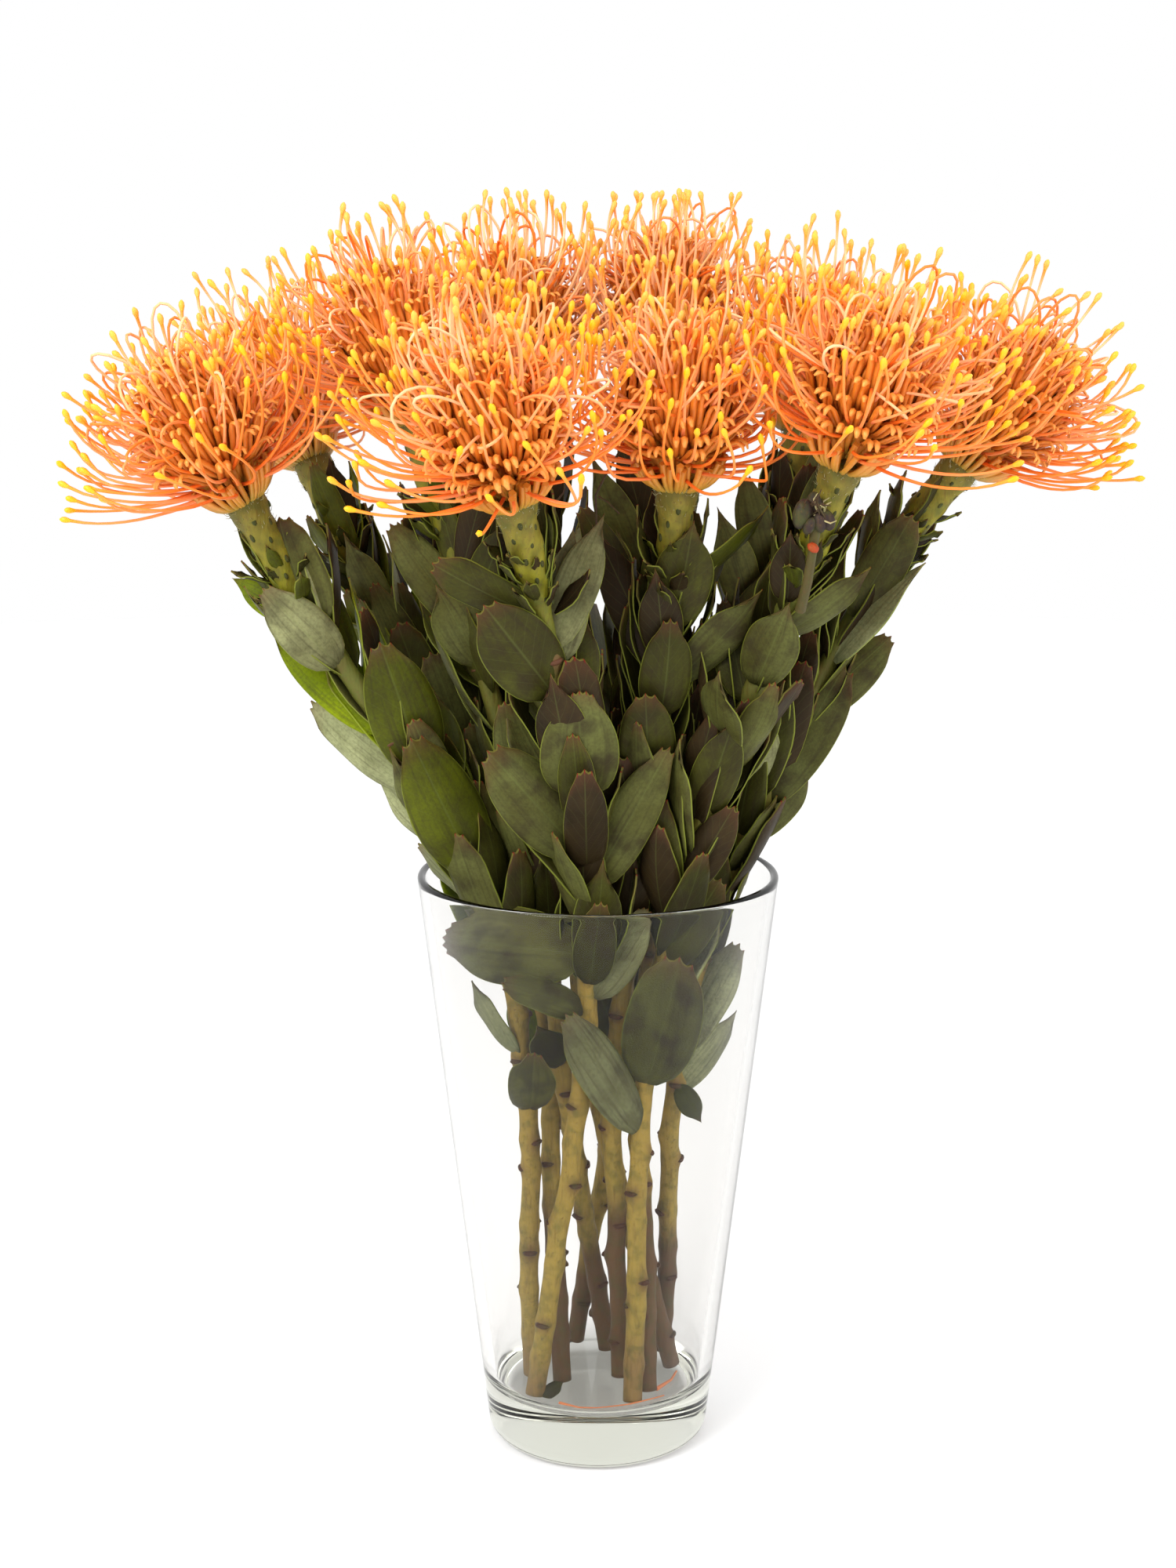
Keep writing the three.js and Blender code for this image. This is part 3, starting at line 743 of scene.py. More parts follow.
@dataclass(frozen=True)
class StyleFinish:
    """Waxy styles, deep orange at the root and yellow at the swollen tip.

    The mark named grow runs from 0 at the root over 1, where the tip begins, to 2 at its end. The mark named
    tint paints light: where it is high, the style and its tip are paled towards peach as if lit through.
    """

    root: Colour = colour(242, 94, 24)
    middle: Colour = colour(248, 124, 38)
    end: Colour = colour(250, 146, 54)
    tip: Colour = colour(248, 184, 18)
    # Painted light: the pale peach and the paler tip colour stand for light shining through the styles.
    pale: Colour = colour(253, 207, 156)
    lit_tip: Colour = colour(238, 182, 84)
    roughness: float = 0.38
    gloss: float = 0.3
    glow: float = 0.3
    glow_depth: Point = (0.003, 0.0018, 0.0008)
    light_share: float = 0.92

    def make(self) -> Material:
        """Builds the material."""
        sockets = {
            "Roughness": self.roughness,
            "Specular IOR Level": self.gloss,
            "Subsurface Weight": self.glow,
            "Subsurface Radius": self.glow_depth,
        }
        paint = Paint("waxy_style", sockets)
        grow = paint.times(paint.mark("grow"), 0.5)
        stops = [(0.0, self.root), (0.2, self.middle), (0.46, self.end), (0.58, self.tip), (1.0, self.tip)]
        shade = paint.ramp(grow, stops)
        # Painted light: styles high in the crown and on the far heads are paled towards peach, the tip too.
        light = paint.times(paint.band(paint.mark("tint"), 0.25, 1.0), self.light_share)
        below_tip = paint.times(light, paint.band(grow, 0.5, 0.42))
        lit_body = paint.blend(below_tip, shade, self.pale)
        at_tip = paint.times(light, paint.band(grow, 0.5, 0.58))
        paint.colour_from(paint.blend(at_tip, lit_body, self.lit_tip))
        return paint.material


@dataclass(frozen=True)
class FloretFinish:
    """Ochre florets, green at the neck: painted shade makes them dark between them and in the middle, and a
    painted highlight makes their curled ends peach.
    """

    # The deep colour is painted shade and the crest colour a painted highlight.
    deep: Colour = colour(178, 98, 18)
    body: Colour = colour(228, 130, 30)
    crest: Colour = colour(248, 164, 72)
    ochre: Colour = colour(212, 138, 44)
    green: Colour = colour(156, 142, 50)
    roughness: float = 0.42
    glow: float = 0.25
    glow_depth: Point = (0.003, 0.0014, 0.0005)
    wear: float = 0.35
    liveliness: float = 0.3

    def make(self) -> Material:
        """Builds the material."""
        sockets = {
            "Roughness": self.roughness,
            "Subsurface Weight": self.glow,
            "Subsurface Radius": self.glow_depth,
        }
        paint = Paint("ochre_floret", sockets)
        # Painted shade and highlight: the ramp darkens each claw towards its root and lightens its curled
        # end to peach.
        stops = [(0.0, self.green), (0.25, self.ochre), (0.5, self.deep), (0.72, self.body)]
        shade = paint.ramp(paint.mark("grow"), [*stops, (0.94, self.crest)])
        patch = paint.band(paint.noise(420, 3), 0.45, 0.75)
        worn = paint.blend(paint.times(patch, self.wear), shade, self.deep)
        lively = paint.blend(paint.times(paint.mark("tint"), self.liveliness), worn, self.crest)
        # The mark named deep paints the core in shade, darkest at its bottom.
        paint.colour_from(paint.blend(paint.mark("deep"), lively, self.deep))
        paint.relief(paint.noise(1800, 2), 0.3, 0.0003)
        return paint.material


@dataclass(frozen=True)
class LeafFinish:
    """Leathery blades: two greens, brown blotches, faint veins, a pale rim and red teeth.

    The mark named blade runs from -1 to 1 across the blade and from 0 to 1 along it.
    """

    blotch: Colour = colour(44, 34, 22)
    rim: Colour = colour(124, 132, 48)
    vein: Colour = colour(98, 108, 56)
    tooth: Colour = colour(108, 22, 22)
    scorch: Colour = colour(84, 52, 34)
    roughness: float = 0.5
    gloss: float = 0.1
    veins: float = 8.0
    slant: float = 2.6
    spot_share: float = 0.75
    grain_share: float = 0.3
    streak_share: float = 0.5
    vein_share: float = 0.1
    rib_share: float = 0.25
    rim_share: float = 0.65
    scorch_share: float = 0.45

    def make(self) -> Material:
        """Builds the material."""
        paint = Paint("leathery_leaf", {"Roughness": self.roughness, "Specular IOR Level": self.gloss})
        blade = paint.mark("blade", "Vector")
        patch = paint.band(paint.noise(45, 4), 0.35, 0.65)
        green = paint.blend(patch, paint.mark("tone", "Color"), paint.mark("under", "Color"))
        spots = paint.times(paint.band(paint.noise(85, 6), 0.5, 0.66), paint.mark("blotch"))
        stained = paint.blend(paint.times(spots, self.spot_share), green, self.blotch)
        grain = paint.times(paint.band(paint.noise(900, 5), 0.42, 0.7), self.grain_share)
        stained = paint.blend(grain, stained, self.blotch)
        streaks = paint.band(paint.noise(1.0, 5, (7, 1.6, 60), blade), 0.48, 0.72)
        stained = paint.blend(paint.times(streaks, self.streak_share), stained, self.blotch)
        split = paint.add("ShaderNodeSeparateXYZ")
        paint.join(blade, split.inputs[0])
        aside = paint.math("ABSOLUTE", split.outputs[0])
        along = split.outputs[1]
        slanted = paint.math("SUBTRACT", paint.times(along, self.veins), paint.times(aside, self.slant))
        side_veins = paint.band(paint.math("PINGPONG", slanted, 0.5), 0.06, 0.0)
        rib = paint.times(paint.band(aside, 0.05, 0.0), self.rib_share)
        ribs = paint.math("MAXIMUM", paint.times(side_veins, self.vein_share), rib)
        veined = paint.blend(ribs, stained, self.vein)
        edge = paint.math("MAXIMUM", paint.band(aside, 0.97, 0.99), paint.band(along, 0.99, 0.999))
        rimmed = paint.blend(paint.times(edge, self.rim_share), veined, self.rim)
        browned = paint.times(paint.band(along, 0.84, 1.0), self.scorch_share)
        scorched = paint.blend(browned, rimmed, self.scorch)
        at_tip = paint.band(along, 0.965, 0.99)
        near_tooth = paint.times(at_tip, paint.band(paint.mark("red"), 0.84, 0.97))
        paint.colour_from(paint.blend(near_tooth, scorched, self.tooth))
        paint.relief(paint.math("ADD", paint.noise(1400, 3), ribs), 0.25, 0.0004)
        return paint.material


@dataclass(frozen=True)
class BarkFinish:
    """The skin of a stem: green above, golden olive below, with fine streaks along it."""

    streak: Colour = colour(92, 66, 34)
    moss: Colour = colour(74, 84, 30)
    roughness: float = 0.6
    gloss: float = 0.25
    streak_share: float = 0.45
    speck_share: float = 0.5
    moss_share: float = 0.5

    def make(self) -> Material:
        """Builds the material."""
        paint = Paint("stem_bark", {"Roughness": self.roughness, "Specular IOR Level": self.gloss})
        streaks = paint.band(paint.noise(700, 4, (1, 1, 0.16)), 0.5, 0.75)
        specks = paint.times(paint.band(paint.noise(900, 2), 0.62, 0.72), self.speck_share)
        share = paint.math("MAXIMUM", paint.times(streaks, self.streak_share), specks)
        patch = paint.times(paint.band(paint.noise(260, 3), 0.45, 0.7), self.moss_share)
        green = paint.blend(patch, paint.mark("tone", "Color"), self.moss)
        paint.colour_from(paint.blend(share, green, self.streak))
        paint.relief(paint.noise(900, 4, (1, 1, 0.2)), 0.5, 0.0006)
        return paint.material


@dataclass(frozen=True)
class FloorFinish:
    """Plain white paper."""

    shade: Colour = (0.84, 0.84, 0.84, 1.0)
    roughness: float = 0.8
    glow: float = 0.13

    def make(self) -> Material:
        """Builds the material."""
        sockets = {"Base Color": self.shade, "Roughness": self.roughness}
        glow = {"Emission Color": (1, 1, 1, 1), "Emission Strength": self.glow}
        return Paint("white_paper", {**sockets, **glow}).material


@dataclass
class Kit:
    """The finishes and the geometry trees, made once."""

    glass: Material = field(default_factory=GlassFinish().make)
    style: Material = field(default_factory=StyleFinish().make)
    floret: Material = field(default_factory=FloretFinish().make)
    leaf: Material = field(default_factory=LeafFinish().make)
    bark: Material = field(default_factory=BarkFinish().make)
    sweep: SweepTree = field(default_factory=SweepTree)
    scatter: ScatterTree = field(default_factory=ScatterTree)


def settle(piece: Thing, node: str | None) -> None:
    """Hands a finished piece over: what it stands for and what it rides on.

    Args:
        piece: the piece, a plain mesh at the origin.
        node: the solid that it replaces, if any.
    """
    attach(piece, "root")
    if node:
        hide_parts(node)
    faces = sum(len(face.vertices) - 2 for face in piece.data.polygons)
    log.info("%s: %d triangles", piece.name, faces)


# Lines and places of the stems and heads


class StemLine:
    """The smooth line of one stem, measured along its length from the cut end to the head."""

    DIVISIONS = 200
    LOW_BEND = 0.3
    HALVINGS = 24
    NUDGE = 1e-4

    def __init__(self, flower: Flower) -> None:
        """Runs the line through the stem's places."""
        faces = unit(np.array(flower.faces, dtype=float))
        head = np.array(flower.head, dtype=float)
        waist = np.array([*flower.waist, STEM.waist_height], dtype=float)
        lean = unit(waist - np.array([*flower.foot, VASE.floor_height]))
        foot = np.array([*flower.foot, self.foot_height(flower.foot, lean)])
        self.points = np.array(
            [
                foot,
                mix(foot, waist, self.LOW_BEND),
                waist,
                [*flower.rim, VASE.height],
                head - faces * STEM.neck_length,
                head - faces * STEM.collar_length,
                head,
            ]
        )
        self.times = np.linspace(0, 1, self.DIVISIONS + 1)
        steps = np.linalg.norm(np.diff(self.at_time(self.times), axis=0), axis=1)
        self.lengths = np.append(0, np.cumsum(steps))
        self.length = float(self.lengths[-1])

    @staticmethod
    def foot_height(foot: Pair, lean: Array) -> float:
        """Height at which the cut end stands on the glass."""
        edges = [outward(lean, angle) * STEM.radius for angle in circle(STEM.sides)]
        heights = [VASE.floor_at(math.hypot(foot[0] + x, foot[1] + y)) - z for x, y, z in edges]
        return max(heights) + STEM.seat_gap

    def at_time(self, times: Array) -> Array:
        """Points of the curve at its own times, 0 to 1, a row each."""
        pts = self.points
        count = len(pts)
        padded = np.vstack([2 * pts[0] - pts[1], pts, 2 * pts[-1] - pts[-2]])
        place = np.asarray(times) * (count - 1)
        span = np.minimum(place.astype(int), count - 2)
        weight = (place - span)[:, None]
        p0, p1, p2, p3 = (padded[span + i] for i in range(4))
        d0, d1, d2 = (
            np.sum((b - a) ** 2, axis=1, keepdims=True) ** 0.25
            for a, b in ((p0, p1), (p1, p2), (p2, p3))
        )
        leave = ((p1 - p0) / d0 - (p2 - p0) / (d0 + d1) + (p2 - p1) / d1) * d1
        arrive = ((p2 - p1) / d1 - (p3 - p1) / (d1 + d2) + (p3 - p2) / d2) * d1
        square = -3 * p1 + 3 * p2 - 2 * leave - arrive
        cube = 2 * p1 - 2 * p2 + leave + arrive
        return p1 + leave * weight + square * weight**2 + cube * weight**3

    def time_of(self, shares: Array) -> Array:
        """Times at which shares of the length are reached."""
        return np.interp(np.asarray(shares, dtype=float) * self.length, self.lengths, self.times)

    def at(self, shares: Array) -> Array:
        """Points at shares of the length."""
        return self.at_time(self.time_of(shares))

    def way_at(self, shares: Array) -> Array:
        """Directions of growth at shares of the length."""
        times = self.time_of(shares)
        after = self.at_time(np.minimum(times + self.NUDGE, 1))
        return unit(after - self.at_time(np.maximum(times - self.NUDGE, 0)))

    def share_at_height(self, height: float) -> float:
        """Share of the length at which the stem reaches a height, found by halving."""
        low, high = 0.0, 1.0
        for _ in range(self.HALVINGS):
            middle = (low + high) / 2
            if self.at(np.array([middle]))[0, 2] < height:
                low = middle
            else:
                high = middle
        return low

    def radius_at(self, shares: Array) -> Array:
        """The stem's radius: slender, thicker in the neck and flared in the collar."""
        left = self.length * (1 - shares)
        neck = np.clip(1 - left / STEM.neck_length, 0, 1)
        swell = mix(STEM.radius, STEM.neck_radius, np.minimum(neck * 2, 1))
        return mix(swell, STEM.collar_radius, np.maximum(1 - left / STEM.collar_length, 0))


@dataclass
class Head:
    """The place and the frame of one flower head."""

    number: int
    base: Array
    axis: Array
    centre_height: float = 28.0
    across: Array = field(init=False)
    beyond: Array = field(init=False)
    centre: Array = field(init=False)

    def __post_init__(self) -> None:
        """Works out the frame from the axis."""
        self.across, self.beyond = frame_of(self.axis)
        self.centre = self.base + self.axis * self.centre_height

    def place(self, out: Array, up: Array, angle: Array) -> Array:
        """Points by their distance from the axis, height above the base and turn."""
        return (
            self.base
            + self.axis * np.asarray(up)[..., None]
            + self.across * (out * np.cos(angle))[..., None]
            + self.beyond * (out * np.sin(angle))[..., None]
        )

    def ways(self, out: Array, up: Array, angle: Array) -> Array:
        """Unit directions by the same three measures."""
        return unit(self.place(out, up, angle) - self.base)


# The vase


@dataclass
class GlassVase:
    """The clear vase: a thick base, a straight tapered wall and a round lip."""

    kit: Kit
    sides: int = 112
    corner_steps: int = 8
    wall_steps: int = 6
    seam: float = 0.006

    def profile(self) -> Array:
        """Rows of distance and height, from the underside, over the lip, to the floor inside."""
        lip = VASE.wall / 2
        turn = np.linspace(0, math.pi / 2, self.corner_steps + 1)
        half = 2 * turn
        foot_out = VASE.base_radius - VASE.base_corner * (1 - np.sin(turn))
        foot = np.stack([foot_out, VASE.base_corner * (1 - np.cos(turn))], axis=1)
        rim_out = VASE.rim_radius - lip + lip * np.cos(half)
        rim = np.stack([rim_out, VASE.height - lip + lip * np.sin(half)], axis=1)
        floor_out = VASE.floor_radius + VASE.floor_corner * np.sin(turn)
        floor_up = VASE.floor_height + VASE.floor_corner * (1 - np.cos(turn))
        floor = np.stack([floor_out, floor_up], axis=1)[::-1]
        between = np.linspace(0, 1, self.wall_steps + 1)[1:-1]
        steps = np.array([self.seam, *between, 1 - self.seam])[:, None]
        outside = mix(foot[-1], rim[0], steps)
        inside = mix(rim[-1], floor[0], steps)
        return np.vstack([foot, outside, rim, inside, floor])

    def build(self) -> Thing:
        """Turns the outline into the finished glass."""
        line = self.profile()
        angles = circle(self.sides)
        out, up = line[:, None, 0], np.repeat(line[:, 1:], self.sides, axis=1)
        rings = np.stack([out * np.cos(angles), out * np.sin(angles), up], axis=-1)
        points = np.vstack([rings.reshape(-1, 3), [[0, 0, 0], [0, 0, VASE.floor_height]]])
        faces = loft_faces(len(line), self.sides)[:-2]
        last = (len(line) - 1) * self.sides
        for j in range(self.sides):
            after = (j + 1) % self.sides
            faces.append((len(points) - 2, after, j))
            faces.append((len(points) - 1, last + j, last + after))
        vase = make_mesh("glass_vase", points, faces)
        vase.data.materials.append(self.kit.glass)
        settle(vase, "vase")
        return vase


# Leaves


@dataclass
class Leaf:
    """One blade: its root, its way, the side that it shows, and its shape."""

    root: Array
    way: Array
    face: Array
    side: Array
    length: float
    width: float
    bend: float
    twist: float
    cup: float
    look: LeafLook = LeafLook.DARK
    teeth: int = 3
    seed: float = 0.0
    grid: tuple[int, int] = (9, 8)
    SAMPLE_ROWS: ClassVar[int] = 13
    SAMPLE_COLUMNS: ClassVar[int] = 7
    MIDDLE_SAMPLE: ClassVar[int] = SAMPLE_ROWS // 2 * SAMPLE_COLUMNS + SAMPLE_COLUMNS // 2

    def point(self, along: Array, aside: Array, lift: Array | float = 0.0) -> Array:
        """Points of the blade.

        Args:
            along: shares of its length.
            aside: distances from its middle line.
            lift: heights off its middle surface, towards its face.

        Returns:
            The points.
        """
        twist = self.twist * along
        side = self.side * np.cos(twist)[..., None] + self.face * np.sin(twist)[..., None]
        arch = self.length * self.bend * along * (1 - along) / 2
        rise = arch - self.cup * aside * aside / self.width + lift
        return (
            self.root
            + self.way * (self.length * along)[..., None]
            + self.face * rise[..., None]
            + side * aside[..., None]
        )

    def samples(self) -> Array:
        """Points spread over the blade, for finding what it would touch."""
        rows, columns, half = self.SAMPLE_ROWS, self.SAMPLE_COLUMNS, self.SAMPLE_COLUMNS // 2
        along = np.repeat(mix(0.08, 1, np.arange(rows) / (rows - 1)), columns)
        aside = np.tile(np.arange(-half, half + 1) / half, rows) * 0.5 * self.width
        aside[-columns:] *= 0.6
        return self.point(along, aside)


def leaf_at(line: StemLine, share: float, way: Array, shows: Array, roll: float, shape: dict) -> Leaf:
    """A leaf from its place on the stem.

    Args:
        line: the stem's line.
        share: the share of its length at which the leaf grows.
        way: the direction that the leaf points.
        shows: the direction that its face is turned to.
        roll: its turn about its own length, in radians.
        shape: the leaf's remaining fields.

    Returns:
        The leaf.
    """
    upward = line.way_at(np.array([share]))[0]
    face = turned(unit(shows - way * (shows @ way)), way, roll)
    out = unit(way - upward * (way @ upward))
    root = line.at(np.array([share]))[0] + out * STEM.radius * 0.4
    return Leaf(root=root, way=way, face=face, side=np.cross(way, face), **shape)


@dataclass(frozen=True)
class Room:
    """The room that a leaf needs, in millimetres: to other leaves, to stems and round a head."""

    leaf_gap: float = 3.2
    stem_gap: float = 3.2
    head_reach: float = 64.0


@dataclass(frozen=True)
class SpiralRule:
    """How the leaves of a stem's spiral grow. A pair is a range, and slants are degrees."""

    below_head: float = 48.0
    lowest: float = 100.04
    size: float = 1.0
    growth: Pair = (0.62, 1.0)
    sizes: Pair = (0.9, 1.12)
    slants: Pair = (22, 44)
    slenderness: float = 1.0
    lift: float = 0.0
    attempts: int = 54
    keeps_back: bool = False
    room: Room = Room()


BROAD = SpiralRule()
SMALL = SpiralRule(
    below_head=32.0,
    lowest=158.0,
    size=0.95,
    growth=(0.72, 0.95),
    sizes=(0.85, 1.12),
    slants=(10, 30),
    slenderness=0.78,
    lift=0.35,
    attempts=12,
    keeps_back=True,
    room=Room(leaf_gap=0.7, stem_gap=1.2, head_reach=33.0),
)


@dataclass
class LeafGrower:
    """Finds each leaf its free space, by the same rule and in the same order as the solids."""

    lines: list[StemLine]
    heads: list[Head]
    leaves_per_stem: int = 9
    leaf_length: float = 54.0
    leaf_width: float = 23.0
    glass_gap: float = 2.0
    head_skirt: float = 3.0
    near: float = 72.0
    turns: int = 18
    turn_step: float = 20.0
    stem_turn: float = 1.7
    small_rounds: int = 52
    forward: float = -0.25
    open_below: float = 270.0
    neck_leaves: int = 15
    neck_span: Pair = (24, 48)
    neck_leaf_length: float = 15.0
    neck_leaf_width: float = 5.6
    left_stems: int = 2
    brown_above: float = 300.0
    front_steps: tuple[int, ...] = (0, -1, 1, -2, 2, -3, 3, -4, 4)
    front_attempts: int = 27
    front_growth: float = 1.05
    front_room: Room = Room(leaf_gap=1.4, stem_gap=1.4)
    placed: list[Array] = field(default_factory=list)
    leaves: list[list[Leaf]] = field(init=False)

    def __post_init__(self) -> None:
        """Gathers what the leaves keep clear of."""
        shares = np.linspace(0, 1, 121)
        self.stem_points = [line.at(shares) for line in self.lines]
        self.bases = np.array([head.base for head in self.heads])
        self.axes = np.array([head.axis for head in self.heads])
        self.leaves = [[] for _ in self.lines]

    def is_clear(self, samples: Array, own: int, room: Room) -> bool:
        """Whether a blade is in the glass or above it, under every head and off its neighbours.

        Args:
            samples: points spread over the blade.
            own: the number of its stem.
            room: the room that it needs.

        Returns:
            True where it has that room.
        """
        spread = np.hypot(samples[:, 0], samples[:, 1])
        low = samples[:, 2] < VASE.height + self.glass_gap
        if np.any(low & (spread > VASE.wall_at(samples[:, 2]) - VASE.wall - self.glass_gap)):
            return False
        rise = samples[:, None] - self.bases
        up = np.einsum("ijk,jk->ij", rise, self.axes)
        if np.any((up >= -self.head_skirt) & (np.linalg.norm(rise, axis=2) <= room.head_reach)):
            return False
        others = np.vstack([p for i, p in enumerate(self.stem_points) if i != own])
        if self.nearest(samples, others) <= (STEM.radius + room.stem_gap) ** 2:
            return False
        spot = Leaf.MIDDLE_SAMPLE
        near = [p for p in self.placed if np.sum((p[spot] - samples[spot]) ** 2) <= self.near**2]
        return not near or self.nearest(samples, np.vstack(near)) > room.leaf_gap**2

    @staticmethod
    def nearest(first: Array, second: Array) -> float:
        """The least squared distance between two sets of points."""
        gaps = np.sum(first**2, axis=1)[:, None] + np.sum(second**2, axis=1) - 2 * first @ second.T
        return float(gaps.min())

    def front_leaf(self, number: int, attempt: int) -> Leaf:
        """One of the broad leaves on the near side, turned or made smaller with each attempt."""
        row = FRONT_LEAVES[number]
        rounds, step = divmod(attempt, len(self.front_steps))
        shrink = 1 - 0.07 * rounds
        way = unit(np.array([row.right, row.back + 4 * self.front_steps[step], row.up], dtype=float))
        line = self.lines[row.stem]
        shape = {
            "length": math.sqrt(row.right**2 + row.back**2 + row.up**2) * shrink,
            "width": row.width * shrink,
            "bend": mix(0.25, 0.7, draw(number, 1, 21)),
            "twist": math.radians(mix(-18, 18, draw(number, 2, 21))),
            "cup": mix(0.15, 0.5, draw(number, 3, 21)),
            "look": row.look,
            "teeth": row.teeth,
            "seed": draw(number, 4, 21),
            "grid": (13, 12),
        }
        shows = np.array([0, -1, 0.25])
        share = line.share_at_height(row.height)
        leaf = leaf_at(line, share, way, shows, math.radians(row.roll), shape)
        leaf.root = leaf.root + shows * STEM.radius * 0.75
        return leaf

    def spiral_leaf(self, own: int, k: int, attempt: int, rule: SpiralRule) -> Leaf:
        """One of the leaves that follow the stem's spiral.

        Args:
            own: the number of its stem.
            k: its place in the spiral.
            attempt: how often it found no room, which turns it and then makes it smaller.
            rule: how it grows.

        Returns:
            The leaf.
        """
        line = self.lines[own]
        top, bottom = 1 - rule.below_head / line.length, rule.lowest / line.length
        step = k % self.leaves_per_stem
        share = mix(top, bottom, (step + 0.6 * draw(own, k, 5)) / self.leaves_per_stem)
        upward = line.way_at(np.array([share]))[0]
        size = rule.size * (mix(*rule.growth, min(step / 3, 1)) * mix(*rule.sizes, draw(own, k, 6)))
        rounds, swing = divmod(attempt, self.turns)
        size *= 1 - 0.16 * rounds
        aside = math.ceil(swing / 2) * math.radians(self.turn_step) * (1 if attempt % 2 else -1)
        turn = k * GOLDEN_ANGLE + own * self.stem_turn + aside
        slant = math.radians(mix(*rule.slants, draw(own, k, 8 + attempt)))
        out = outward(upward, turn)
        way = upward * math.cos(slant) + out * math.sin(slant)
        if rule.lift:
            way = unit(way + np.array([0, 0, rule.lift]))
        shape = {
            "length": self.leaf_length * size,
            "width": self.leaf_width * size * rule.slenderness * mix(0.88, 1.1, draw(own, k, 7)),
            "bend": mix(0.2, 0.7, draw(own, k, 9)),
            "twist": math.radians(mix(-35, 35, draw(own, k, 11))),
            "cup": mix(0.1, 0.55, draw(own, k, 12)),
            "look": self.look_of(own, k, share * line.length, out),
            "teeth": (1, 3, 3, 3)[int(4 * draw(own, k, 14))],
            "seed": draw(own, k, 15),
        }
        roll = math.radians(mix(-16, 16, draw(own, k, 10 + attempt)))
        return leaf_at(line, share, way, out, roll, shape)

    def neck_leaf(self, own: int, k: int) -> Leaf:
        """One of the small pointed leaves that crowd the foot of the neck."""
        line = self.lines[own]
        share = 1 - mix(*self.neck_span, (k + draw(own, k, 61)) / self.neck_leaves) / line.length
        upward = line.way_at(np.array([share]))[0]
        out = outward(upward, k * GOLDEN_ANGLE + own * 2.1)
        slant = math.radians(mix(14, 52, draw(own, k, 62)))
        way = upward * math.cos(slant) + out * math.sin(slant)
        size = mix(0.7, 1.25, draw(own, k, 63)) * mix(0.75, 1.2, k / self.neck_leaves)
        shape = {
            "length": self.neck_leaf_length * size,
            "width": self.neck_leaf_width * size,
            "bend": mix(-0.4, 0.8, draw(own, k, 64)),
            "twist": math.radians(mix(-30, 30, draw(own, k, 65))),
            "cup": 0.5,
            "look": (OLIVE, DARK, BROWN, DARK)[int(4 * draw(own, k, 66))],
            "teeth": 1,
            "seed": draw(own, k, 67),
            "grid": (6, 4),
        }
        leaf = leaf_at(line, share, way, out, 0.0, shape)
        leaf.root = leaf.root + out * STEM.neck_radius * 0.6
        return leaf

    def look_of(self, own: int, k: int, up: float, out: Array) -> LeafLook:
        """The look of a leaf of the spiral: painted light from behind on the left, painted shade on the
        small leaves deep in the bunch, and browner high in the bunch.

        Args:
            own: the number of its stem.
            k: its place in the spiral.
            up: how far up the stem it grows, in millimetres.
            out: the way from the stem to it.

        Returns:
            The look.
        """
        chance = draw(own, k, 13)
        # The small leaves deep in the bunch take the dark and brown looks as painted shade.
        if own >= self.left_stems and k >= self.leaves_per_stem:
            return (DARK, BROWN, DARK, BROWN, DULL)[int(5 * chance)]
        # Leaves on the left stems that face back take the bright yellow-green look, painted light from
        # behind.
        if own < self.left_stems and out[1] > 0.3:
            return BACKLIT if chance < 0.6 else OLIVE
        if own < self.left_stems and out[0] < -0.2:
            return OLIVE if chance < 0.5 else DULL
        if up > self.brown_above and chance < 0.45:
            return BROWN
        if out[1] > 0.5 and chance > 0.7:
            return OLIVE
        return (DARK, DARK, DULL, DARK, DARK, DULL, SHEEN, BROWN)[int(8 * chance)]

    def grow(self) -> list[list[Leaf]]:
        """Places all leaves: the near ones, the spirals, and smaller ones in what is left free.

        Returns:
            The leaves of each stem.
        """
        for number, row in enumerate(FRONT_LEAVES):
            tries = (self.front_leaf(number, i) for i in range(self.front_attempts))
            self.place(row.stem, tries, self.front_room)
        for found in self.leaves:
            for leaf in found:
                leaf.width *= self.front_growth
                leaf.length *= self.front_growth
        self.grow_spirals(0, self.leaves_per_stem, BROAD)
        log.info("leaves of the solids: %s", [len(found) for found in self.leaves])
        self.grow_spirals(self.leaves_per_stem, self.small_rounds, SMALL)
        for own, found in enumerate(self.leaves):
            found += [self.neck_leaf(own, k) for k in range(self.neck_leaves)]
        log.info("leaves in all: %s", [len(found) for found in self.leaves])
        return self.leaves

    def grow_spirals(self, first: int, count: int, rule: SpiralRule) -> None:
        """Places so many leaves of each stem's spiral, one on every stem in turn."""
        for k in range(first, first + count):
            for own in range(len(self.lines)):
                tries = (self.spiral_leaf(own, k, i, rule) for i in range(rule.attempts))
                if rule.keeps_back:
                    tries = (t for t in tries if t.way[1] > self.forward or t.root[2] < self.open_below)
                self.place(own, tries, rule.room)

    def place(self, own: int, tries: Iterable[Leaf], room: Room) -> None:
        """Keeps the first leaf that stands clear, if there is one."""
        for leaf in tries:
            samples = leaf.samples()
            if self.is_clear(samples, own, room):
                self.placed.append(samples)
                self.leaves[own].append(leaf)
                return


